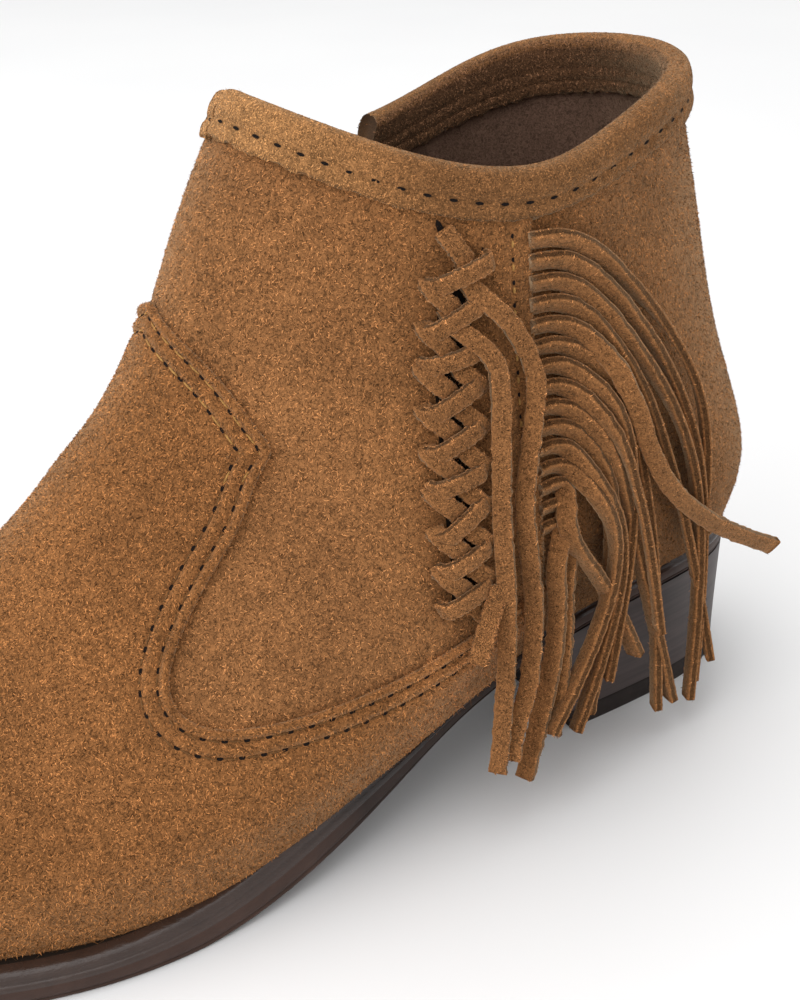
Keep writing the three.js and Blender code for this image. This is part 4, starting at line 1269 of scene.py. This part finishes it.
def band_profile():
    """How far down and out the band's skin runs, from its outer cut edge to the inner one."""
    skin_out = GAP + BINDING_THICKNESS
    roll = []
    radius = (WALL + 2 * skin_out) / 2
    middle = skin_out - radius
    for angle in np.linspace(0.12, math.pi - 0.12, 13):
        roll.append((-radius * BAND_ROLL * math.sin(angle), middle + radius * math.cos(angle)))
    outer = [
        (BINDING_DEPTH - 0.1, GAP - 0.1), (BINDING_DEPTH + 0.15, 0.7), (BINDING_DEPTH, 1.15),
        (BINDING_DEPTH - 0.5, 1.4), (BINDING_DEPTH - 1.2, 1.55), (BINDING_DEPTH - 2, 1.5),
        (BAND_ROW + 0.6, 1.35), (BAND_ROW + 0.15, 1.2), (BAND_ROW - 0.3, 1.2),
        (BAND_ROW - 0.9, 1.5), (BAND_ROW - 1.7, 1.75), (BAND_ROW - 2.6, 1.85), (0.9, 1.8),
        (0.2, 1.75),
    ]
    deep = -WALL - skin_out
    inner = [
        (0.3, deep + 0.02), (1.2, deep - 0.1), (BAND_ROW - 1, deep - 0.1), (BAND_ROW, deep + 0.3),
        (BAND_ROW + 1, deep - 0.1), (FACING_DEPTH - 3.4, deep), (FACING_DEPTH - 2.8, deep + 0.35),
        (FACING_DEPTH - 2.2, deep - 0.1), (FACING_DEPTH - 0.5, deep),
        (FACING_DEPTH, deep + 0.4), (FACING_DEPTH + 0.1, deep + 1),
        (FACING_DEPTH, -WALL - GAP),
    ]
    return np.array(outer + roll + inner), len(outer), len(roll)


def band_point(turn, down, out):
    """A point by the collar: down the wall, or above the collar where down is below 0."""
    length = column_length(turn)
    level = np.clip(1 - np.maximum(down, 0) / length, 0, 1)
    points = off(turn, level, out)
    rise = unit(form(turn, 1) - form(turn, 0.99))
    return points + rise * np.maximum(-down, 0)[..., None]


BAND_COLUMNS = 500
RAW_ROWS = 3                # rows at each cut edge of the band
SHADED_ROLL = 4             # rows of the roll that belong to its inner, darker side


def make_band():
    build = Build()
    profile, outer_count, roll_count = band_profile()
    start, end = (float(turn) for turn in zip_turns(1.0))
    turns = even_turns(BAND_COLUMNS, start, end, 1.0)
    run = run_along(form(turns, 1))
    down = np.broadcast_to(profile[:, 0][:, None], (len(profile), len(turns))).copy()
    out = np.broadcast_to(profile[:, 1][:, None], down.shape).copy()
    wave = np.cos(2 * math.pi * run / STITCH_PITCH)
    near_row = np.exp(-(((down - BAND_ROW) / 0.8) ** 2))
    outside = (np.arange(len(profile)) < outer_count)[:, None]
    out -= outside * near_row * 0.14 * wave[None]
    rough = np.convolve(RANDOM.normal(0, 1, len(turns)), np.hanning(7) / 3, "same")
    down[:RAW_ROWS] += 0.3 * rough[None]
    down[-RAW_ROWS:] += 0.5 * rough[None]
    grid = band_point(turns, down, out)
    raw = np.zeros(down.shape)
    raw[:RAW_ROWS] = 1
    raw[-RAW_ROWS:] = 1
    roll_end = outer_count + roll_count
    # Shade mark: painted shade inside the collar, half of it on the roll's inner rows
    shade = np.zeros(down.shape)
    shade[roll_end:] = 1
    shade[roll_end - SHADED_ROLL:roll_end] = 0.5
    build.add_grid(grid, flip=True, close_rows=True, raw=raw, shade=shade)
    corners = np.arange(len(profile)) * len(turns)
    build.add_face(corners, 1)
    build.add_face((corners + len(turns) - 1)[::-1], 1)
    build.finish("collar_band", [SUEDE_BAND, RAW_EDGE], ["collar_binding"])
    places = np.arange(STITCH_PITCH / 2, run[-1], STITCH_PITCH * 1.1)
    hole_turns = np.interp(places, run, turns)
    points = band_point(hole_turns, BAND_ROW, 1.2)
    after = band_point(hole_turns + 0.02, BAND_ROW, 1.2)
    normals = outward(hole_turns, 0.97)
    stitches = Build()
    add_holes(stitches, points, unit(after - points), normals, 1.6, 0.62)
    stitches.finish("band_stitches", [HOLE_SHADE])
    outer_rows = grid[:roll_end - SHADED_ROLL]
    inner_rows = grid[roll_end - SHADED_ROLL - 1:]
    grow_nap("band_nap", [(outer_rows, -1, None)], BAND_FIBRES, NAP_BAND, holes=points)
    grow_nap("facing_nap", [(inner_rows, -1, None)], FACING_FIBRES, NAP_FACING_SHADE)


# Sole, insole and heel

def sole_top(x):
    return feather(along_at(x)) - GAP


def sole_under(x):
    return np.maximum(0, sole_top(x) - SOLE_THICKNESS * thick_share(along_at(x)))


def add_rings(build, rings, across, toe, slot=0):
    """Closed rings from top to bottom, with caps of quads across the first and last. Each ring
    runs down one side and back up the other, and toe says that both start at one point."""
    rings = np.array(rings)
    build.add_grid(rings, slot, close_columns=True)
    half = rings.shape[1] // 2
    for ring, flip in ((rings[0], True), (rings[-1], False)):
        inner = ring[:half - 1:-1]
        if toe:
            inner = np.concatenate([ring[:1], inner])
        share = np.linspace(0, 1, across)[:, None, None]
        build.add_grid(lerp(ring[:half + 1][None], inner[None], share), flip=flip)


# Edge of the outsole from its top to its underside: in from the ledge's rim, and down as a
# share of the sole's thickness
SOLE_EDGE = [
    (-8.0, 0.00), (-7.0, -0.30), (-4.4, -0.35), (-2.8, -0.34), (-1.8, -0.28), (-1.1, -0.17),
    (-0.75, -0.05), (-0.75, 0.0), (-0.35, 0.02), (0.0, 0.1), (0.12, 0.22), (0.12, 0.42),
    (-0.02, 0.66), (-0.2, 0.765), (-0.7, 0.79), (-0.65, 0.83), (-0.3, 0.86), (-0.3, 0.93),
    (-0.5, 0.98), (-1.2, 1.00),
]

# Rings of that edge between which the welt's glossy bead lies
WELT_FROM = 2
WELT_TO = 10
welt_rise = spline(column(WELT, 0), column(WELT, 1))


def heel_trim(along):
    """1 at the heel, where the sole is trimmed flush, and 0 ahead of it."""
    return 1 - smooth((np.asarray(along, float) - 0.2) / 0.12)


def make_outsole():
    build = Build()
    turns = round_turns(300)
    along = (1 + np.cos(turns)) / 2
    edge = SOLE_LEDGE * ledge_share(along) - HEEL_TRIM * heel_trim(along)
    rings = []
    for inset, share in SOLE_EDGE:
        ring = foot_ring(turns, edge + inset)
        top = sole_top(ring[:, 0]) + welt_rise(along_at(ring[:, 0]))
        ring[:, 2] = lerp(top, sole_under(ring[:, 0]), share)
        rings.append(ring)
    # Slot 1: the dark line below the suede, painted shadow with black cement
    slots = [1] * WELT_FROM + [2] * (WELT_TO - WELT_FROM) + [0] * (len(rings) - 1 - WELT_TO)
    add_rings(build, rings, 7, True, np.repeat(slots, len(turns)))
    build.finish("outsole_rubber", [SOLE_RUBBER, SHADOW_DARK, WELT_RUBBER], ["outsole"])


def make_insole():
    build = Build()
    turns = round_turns(160)
    inset = WALL + 2 * GAP + 1
    rings = []
    for extra, rise in ((0.9, 1.0), (0.3, 0.9), (0.0, 0.6), (0.0, 0.0)):
        ring = foot_ring(turns, -inset - extra)
        seat = feather(along_at(ring[:, 0])) + WALL + GAP
        ring[:, 2] = seat + rise * INSOLE_THICKNESS
        rings.append(ring)
    add_rings(build, rings, 7, True)
    build.finish("insole_sock", [SOCK], ["insole"])


HEEL_CURVE = 1.3            # how soon the heel narrows below the sole
HEEL_INSET = 0.8
HEEL_COLUMNS = 70


def heel_ring(share, height, spread=0.0):
    """Heel outline at a share of its height, 0 under the sole and 1 on the floor."""
    blend = 1 - (1 - share) ** HEEL_CURVE
    inset = -HEEL_INSET + spread
    edge = SOLE_LEDGE * float(ledge_share(0)) - HEEL_TRIM + 0.5
    start = float(turn_at(HEEL_BREAST_TOP, 0.0, False))
    turn = np.linspace(start, math.pi, HEEL_COLUMNS)
    top_back = foot_ring(np.array([math.pi]), np.array([edge - HEEL_INSET]))[0, 0]
    sides = []
    for side in (1, -1):
        ring = foot_ring(side * turn, edge + inset)
        forward = (ring[:, 0] - top_back) / (HEEL_BREAST_TOP - top_back)
        forward[0] = 1
        forward = np.minimum(1, forward)
        top_x = lerp(top_back, HEEL_BREAST_TOP, forward)
        bottom_x = lerp(-HEEL_BOTTOM_BACK, HEEL_BREAST_BOTTOM, forward)
        x = lerp(top_x, bottom_x, blend)
        y = ring[:, 1] * lerp(1, HEEL_TAPER, blend)
        sides.append(np.stack([x, y, height(x, top_x)], -1))
    return np.concatenate([sides[0], sides[1][-2::-1]])


# Top lift: share of the heel's height, height over the floor, and how far its edge is out
LIFT_RINGS = [(LIFT_SHARE, 5.0, -0.5), (LIFT_SHARE, 4.7, 0), (1, 0.5, 0), (1, 0, -0.4)]


def make_heel():
    floor = LIFT_THICKNESS + GAP
    rings = []
    for share in np.linspace(0, LIFT_SHARE, 16):
        part = share / LIFT_SHARE
        rings.append(heel_ring(share, lambda x, top_x: lerp(sole_under(top_x) - GAP, floor, part)))
    build = Build()
    add_rings(build, rings, 9, False)
    build.finish("heel_block", [HEEL_STACK], ["heel"])
    rings = [
        heel_ring(share, lambda x, top_x: 0 * x + z, spread) for share, z, spread in LIFT_RINGS
    ]
    lift = Build()
    add_rings(lift, rings, 9, False)
    lift.finish("heel_lift", [LIFT_RUBBER], ["heel_top_lift"])


# Strips and laces

# Section of a cut strip: across and out as shares of half its width and thickness, whether it
# lies on the cut edge's core, and whether on its frayed corner
STRIP_SECTION = [
    (0.80, 1.0, 0, 0.3), (0.3, 1.06, 0, 0), (-0.3, 1.06, 0, 0), (-0.80, 1.0, 0, 0.3),
    (-0.97, 0.82, 0, 1), (-0.98, 0.4, 1, 0), (-0.98, -0.4, 1, 0), (-0.97, -0.82, 0, 1),
    (-0.80, -1.0, 0, 0.3), (-0.3, -1.0, 0, 0), (0.3, -1.0, 0, 0), (0.80, -1.0, 0, 0.3),
    (0.97, -0.82, 0, 1), (0.98, -0.4, 1, 0), (0.98, 0.4, 1, 0), (0.97, 0.82, 0, 1),
]
# Sides of that section, by number: core of the cut edges, sides next to it, frayed corners
CORE_SIDES = [5, 13]
EDGE_SIDES = [4, 6, 12, 14]
RIM_SIDES = [3, 4, 6, 7, 11, 12, 14]


def add_ribbon(build, points, width, thickness, twist=None, steps=60, wobble=0.1):
    """A flat band along points with frayed long edges and cut ends. Nap grows on all but the
    middle of its cut edges."""
    line = path(points)
    t = np.linspace(0, 1, steps + 1)
    middle = line(t)
    ahead = unit(line(np.minimum(1, t + STEP)) - line(np.maximum(0, t - STEP)))
    outside = np.array([0.0, 1.0, 0.0])
    face = unit(outside - ahead * (ahead @ outside)[:, None])
    across = np.cross(ahead, face)
    angle = np.zeros(len(t)) if twist is None else twist(t)
    cos = np.cos(angle)[:, None]
    sin = np.sin(angle)[:, None]
    wide = across * cos + face * sin
    thin = face * cos - across * sin
    rag = RANDOM.normal(0, wobble, (len(t), 2))
    rings = []
    for a, b, core, rim in STRIP_SECTION:
        swell = rag[:, 0 if a < 0 else 1][:, None] * np.sign(a) * (core or rim == 1)
        rings.append(middle + wide * (a * width / 2 + swell) + thin * b * thickness / 2)
    grid = np.stack(rings, 1)
    count = len(STRIP_SECTION)
    core = np.broadcast_to(np.array(column(STRIP_SECTION, 2), float), (len(t), count))
    rim = np.broadcast_to(np.array(column(STRIP_SECTION, 3), float), (len(t), count))
    napped = np.ones((len(t) - 1, count - 1))
    napped[:, CORE_SIDES] = 0
    napped[:, EDGE_SIDES] = 0.6
    build.add_grid(grid, close_columns=True, raw=core, rim=rim)
    build.close_ends(len(t), count)
    build.nap.append((grid, 1, napped))
    rims = np.zeros(napped.shape)
    rims[:, RIM_SIDES] = 1
    build.rims.append((grid, 1, rims))


def nap_strips(build, name, fibres, rim_fibres):
    """Coarse nap on the faces of strips, and frayed fibres along their cut edges, painted paler as
    a highlight.
    """
    grow_nap(name + "_nap", build.nap, fibres, NAP_LACE, 0.6, 0.2)
    grow_nap(name + "_rims", build.rims, rim_fibres, NAP_RIM_HIGHLIGHT, 0.75, 0.17, 0.5)


def fringe_path(row, number):
    start_z = FRINGE_TOP - number * FRINGE_PITCH
    seat = -QUARTER_STEP + 1.5 * GAP + STRIP_THICKNESS / 2
    bend_back, bend_down, hang_back, hang_down, end_back, end_down, out, _ = row
    hang_out = FRINGE_STANDOFF + out
    xs = [
        SIDE_SEAM + 0.6, SIDE_SEAM - HEADER_WIDTH - 2, SIDE_SEAM - bend_back * FRINGE_REACH,
        SIDE_SEAM - hang_back * FRINGE_REACH, SIDE_SEAM - end_back * FRINGE_REACH,
    ]
    zs = [
        start_z, start_z - 0.1, FRINGE_TOP - bend_down * FRINGE_FALL,
        FRINGE_TOP - hang_down * FRINGE_FALL, FRINGE_TOP - end_down * FRINGE_FALL,
    ]
    end_out = hang_out + (STRAY_FLARE if number == STRAY else 1.5)
    outs = [seat - 0.3, seat + 0.3, lerp(seat, hang_out, 0.7), hang_out, end_out]
    return beside(np.array(xs), np.array(zs), np.array(outs))


def make_fringe():
    build = Build()
    for number, row in enumerate(FRINGE):
        final = -0.25 if number == STRAY else row[-1]
        add_ribbon(
            build, fringe_path(row, number), STRIP_WIDTH, STRIP_DRAWN,
            lambda t, final=final: -0.7 - 1.3 * final * smooth((t - 0.08) / 0.4), steps=70,
        )
    build.finish("fringe_strips", [SUEDE_LACE], ["fringe"])
    nap_strips(build, "fringe", *FRINGE_FIBRES)


def make_loose_ends():
    for name, points in LOOSE_ENDS.items():
        build = Build()
        xs, zs, outs = np.array(points, float).T
        add_ribbon(
            build, beside(xs, zs, outs), LACE_WIDTH * 0.92, LACE_DRAWN,
            lambda t: -0.8 * smooth((t - 0.12) / 0.25), steps=90,
        )
        build.finish(name + "_suede", [SUEDE_LACE], [name])
        nap_strips(build, name, *LACE_FIBRES)


braid_line = spline([-up * SHAFT_HEIGHT for _, up in BRAID],
                    [SIDE_SEAM + ahead * SHAFT_HEIGHT for ahead, _ in BRAID])


def braid_points(rows, z0):
    """Rows are across as a share of the braid's width, down from z0, and out."""
    across, down, out = np.array(rows, float).T
    z = z0 - down
    return beside(braid_line(-z) + across * BRAID_WIDTH, z, out + BRAID_SEAT)


# The braid's lace: across as a share of the braid's width, down from the bar's middle, out.
# A bar rises to the rear over the falling lace, and dives into the suede at both ends.
BAR = [
    (0.49, 2.1, -0.5), (0.48, 2.05, 0.7), (0.42, 1.8, 1.9), (0.2, 0.9, 2.5), (0.0, 0.0, 2.6),
    (-0.2, -0.9, 2.4), (-0.36, -1.5, 1.7), (-0.42, -1.7, 0.5), (-0.43, -1.75, -0.6),
]
FALL = [
    (0.5, 1.5, -0.4), (0.49, 1.9, 0.8), (0.43, 2.9, 1.5), (0.3, 4.2, 1.6), (0.14, 5.8, 1.2),
    (0.0, 7.6, 0.2), (-0.1, 9.8, 0.5), (-0.26, 11.8, 1.2), (-0.44, 13.8, 1.0), (-0.54, 15.0, 0.0),
]
TOP_STRIP = [
    (0.36, -7.4, 0.2), (0.32, -6.7, 0.9), (0.16, -4.4, 1.4), (-0.04, -1.4, 0.7), (-0.13, 1.0, 0.2),
]

def make_braid():
    build = Build()
    slits = []
    add_ribbon(build, braid_points(TOP_STRIP, BAR_TOP), LACE_WIDTH * 0.9, LACE_DRAWN, steps=36)
    slits.append(braid_points(TOP_STRIP[:1], BAR_TOP))
    for number in range(BAR_COUNT):
        z0 = BAR_TOP - number * BAR_PITCH
        lean = 1 + 0.5 * math.sin(number * 2.3)
        bar = [(across, down * lean, out) for across, down, out in BAR]
        add_ribbon(build, braid_points(bar, z0), LACE_WIDTH * 0.84, LACE_DRAWN, steps=40)
        slits.append(braid_points(bar[-1:], z0))
        if 0 < number < BAR_COUNT - 1:
            add_ribbon(build, braid_points(FALL, z0), LACE_WIDTH * 0.92, LACE_DRAWN, steps=50)
        elif number == 0:
            add_ribbon(build, braid_points(FALL[:6], z0), LACE_WIDTH * 0.92, LACE_DRAWN, steps=40)
    build.finish("braid_laces", [SUEDE_LACE], ["braid"])
    nap_strips(build, "braid", *BRAID_FIBRES)
    make_braid_shadow()
    make_braid_slits(np.concatenate(slits))


def make_braid_shadow():
    """A dark sheet under the bars: the painted shadow that shows between them."""
    low = BAR_TOP - BAR_PITCH * (BAR_COUNT - 1) - 2
    across = np.linspace(0.25, -0.33, 7)[None]
    z = np.linspace(BAR_TOP - 1, low, 40)[:, None]
    under = Build()
    under.add_grid(beside(braid_line(-z) + across * BRAID_WIDTH, z, 0.12))
    under.finish("braid_gap", [SHADOW_DARK])


def make_braid_slits(slits):
    """Dark ovals of painted shade for the slits in the suede where the laces dive in."""
    turn, up = place_at(slits[:, 0], slits[:, 2], False)
    normals = outward(turn, up)
    rise = np.broadcast_to(np.array([0.35, 0.0, 1.0]), normals.shape)
    rise = unit(rise - normals * (rise * normals).sum(1, keepdims=True))
    marks = Build()
    add_holes(marks, off(turn, up, 0.05) + normals * 0.1, rise, normals, 4.2, 1.3)
    marks.finish("braid_slits", [HOLE_SHADE])


# Zip on the inner side, closed

ZIP_TOP_TURN = float(turn_at(SIDE_SEAM, 1.0, True))
ZIP_LENGTH = float(column_length(np.float64(ZIP_TOP_TURN)))
TAPE_TOP = FACING_DEPTH + 1.2
TAPE_FOOT = ZIP_LENGTH * (1 - float(place_at(SIDE_SEAM, ZIP_FOOT + 1, True)[1]))
TAPE_ACROSS = [-8, -4, -1.5, 0, 1.5, 4, 8.0]
TOOTH_PITCH = 1.15
TOOTH_LEAN = 0.45
SLIDER_TOP = FACING_DEPTH + 2.5
SLIDER_LENGTH = 8.5
PULL_LENGTH = 25
# Sections of a tooth along the zip and out, and of slider and pull across as a share, and out
TOOTH = [(-0.32, -0.5), (-0.26, 0.0), (0.0, 0.12), (0.26, 0.0), (0.32, -0.5)]
SLIDER = [(-1, -0.4), (-1, 0), (-0.6, 0.7), (0.6, 0.7), (1, 0), (1, -0.4)]
PULL = [(-1, 0), (-1, 0.9), (-0.7, 1.3), (0.7, 1.3), (1, 0.9), (1, 0)]


def zip_points(down, sideways, out):
    """Points by the zip's line, down the wall from the collar."""
    down, sideways, out = np.broadcast_arrays(down, sideways, out)
    level = 1 - down / ZIP_LENGTH
    return off(turn_at(SIDE_SEAM + sideways, level, True), level, out)


def make_tape():
    tape = Build()
    down = np.linspace(TAPE_TOP, TAPE_FOOT, 40)[:, None]
    sideways = np.array(TAPE_ACROSS)[None]
    front = zip_points(down, sideways, -WALL - 0.6)
    behind = zip_points(down, sideways, -WALL - 1.4)
    tape.add_grid(front, flip=True)
    tape.add_grid(behind)
    for edges, flip in (((front[0], behind[0]), False), ((front[-1], behind[-1]), True),
                        ((front[:, 0], behind[:, 0]), True),
                        ((front[:, -1], behind[:, -1]), False)):
        tape.add_grid(np.stack(edges), flip=flip)
    tape.finish("zip_tape", [TAPE], ["zip"])


def make_teeth():
    teeth = Build()
    sides = np.linspace(-1.5, 1.5, 7)
    rise = 0.55 * np.sqrt(np.maximum(0, 1 - (sides / 1.55) ** 2))
    for number, place in enumerate(np.arange(TAPE_TOP + 1, TAPE_FOOT - 0.5, TOOTH_PITCH)):
        lean = TOOTH_LEAN if number % 2 else -TOOTH_LEAN
        teeth.add_grid(np.stack([
            zip_points(place + thick + lean * sides / 3, sides, rise + proud - 0.5)
            for thick, proud in TOOTH
        ]), flip=True)
    teeth.finish("zip_teeth", [BRASS])


def add_tube(build, place, taper, section, out):
    """A closed tube along the zip with this section, at its widths and height."""
    sides = [zip_points(place, side * taper, out + proud) for side, proud in section]
    build.add_grid(np.stack(sides, 1), flip=True, close_columns=True)
    build.close_ends(len(place), len(section))


def make_slider():
    slider = Build()
    low = SLIDER_TOP
    place = np.linspace(low, low + SLIDER_LENGTH, 9)
    shares = np.interp(place, [low, low + 3, low + SLIDER_LENGTH], [0.8, 1, 0.62])
    for wide, near in ((6.4, 1.0), (3.6, 2.2)):
        add_tube(slider, place, wide * shares / 2, SLIDER, near)
    slider.finish("zip_slider_brass", [BRASS], ["zip_slider"])
    pull = Build()
    stops = [low + 1.5, low + 4, low + 23, low + PULL_LENGTH]
    place = np.linspace(stops[0], stops[-1], 26)
    add_tube(pull, place, 2.4 * np.interp(place, stops, [0.5, 1, 1, 0.8]), PULL, 3.3)
    pull.finish("zip_pull_suede", [SUEDE_LACE], ["zip_pull"])


# Floor, light and camera

def make_stage():
    look = Look("studio_floor")
    shade = look.noise(look.place(), 0.004, 2, 0.5, 0)
    tone = look.ramp(shade, [(0.3, (0.83, 0.83, 0.835)), (0.7, (0.86, 0.86, 0.86))])
    look.set("Base Color", tone)
    look.set("Roughness", 0.42)
    size = 6.0
    mesh = bpy.data.meshes.new("studio_floor")
    mesh.from_pydata(
        [(-size, -size, 0), (size, -size, 0), (size, size, 0), (-size, size, 0)], [], [(0, 1, 2, 3)]
    )
    mesh.materials.append(look.material)
    floor = bpy.data.objects.new("studio_floor", mesh)
    bpy.context.scene.collection.objects.link(floor)


def add_area(name, place, target, size, power):
    light = bpy.data.lights.new(name, "AREA")
    light.shape = "RECTANGLE"
    light.size, light.size_y = size
    light.energy = power
    made = bpy.data.objects.new(name, light)
    made.location = place
    aim = Vector(target) - Vector(place)
    made.rotation_euler = aim.to_track_quat("-Z", "Y").to_euler()
    bpy.context.scene.collection.objects.link(made)


def make_light():
    world = bpy.data.worlds.new("studio")
    world.use_nodes = True
    sky = world.node_tree.nodes["Background"]
    sky.inputs["Color"].default_value = (1, 1, 1, 1)
    sky.inputs["Strength"].default_value = 0.85
    bpy.context.scene.world = world
    add_area("overhead", (0.5, -0.2, 1.5), (0.08, 0, 0.05), (1.8, 1.8), 15)
    add_area("front_left", (1.1, 0.5, 0.8), (0.08, 0.0, 0.06), (0.8, 0.8), 5)
    view = bpy.context.scene.view_settings
    view.view_transform, view.look = "Standard", "None"
    view.exposure, view.gamma = 0, 1


# Camera, with its place in millimetres and its focal length in pixels of a picture this long
CAMERA_AZIMUTH = math.radians(26.8)
CAMERA_HEIGHT = math.radians(26.9)
CAMERA_ROLL = math.radians(-3.0)
CAMERA_DISTANCE = 400
CAMERA_TARGET = (22.0, -62.2, 19.6)
FOCAL_PIXELS = 1485.2
LONG_SIDE_PIXELS = 1000
SENSOR = 36


def make_camera():
    cos_a, sin_a = math.cos(CAMERA_AZIMUTH), math.sin(CAMERA_AZIMUTH)
    cos_h, sin_h = math.cos(CAMERA_HEIGHT), math.sin(CAMERA_HEIGHT)
    back = Vector((sin_a * cos_h, cos_a * cos_h, sin_h))
    right = Vector((-cos_a, sin_a, 0))
    top = right.cross(-back)
    side = right * math.cos(CAMERA_ROLL) + top * math.sin(CAMERA_ROLL)
    rise = -right * math.sin(CAMERA_ROLL) + top * math.cos(CAMERA_ROLL)
    data = bpy.data.cameras.new("camera")
    data.sensor_width = SENSOR
    data.lens = FOCAL_PIXELS / LONG_SIDE_PIXELS * SENSOR
    data.clip_start, data.clip_end = 0.01, 50
    made = bpy.data.objects.new("camera", data)
    place = (Vector(CAMERA_TARGET) + back * CAMERA_DISTANCE) * MM
    matrix = Matrix((side, rise, back)).transposed().to_4x4()
    matrix.translation = place
    made.matrix_world = matrix
    bpy.context.scene.collection.objects.link(made)
    bpy.context.scene.camera = made


make_camera()
make_light()
make_stage()
make_upper()
make_vamp()
make_band()
make_outsole()
make_insole()
make_heel()
make_braid()
make_fringe()
make_loose_ends()
make_tape()
make_teeth()
make_slider()
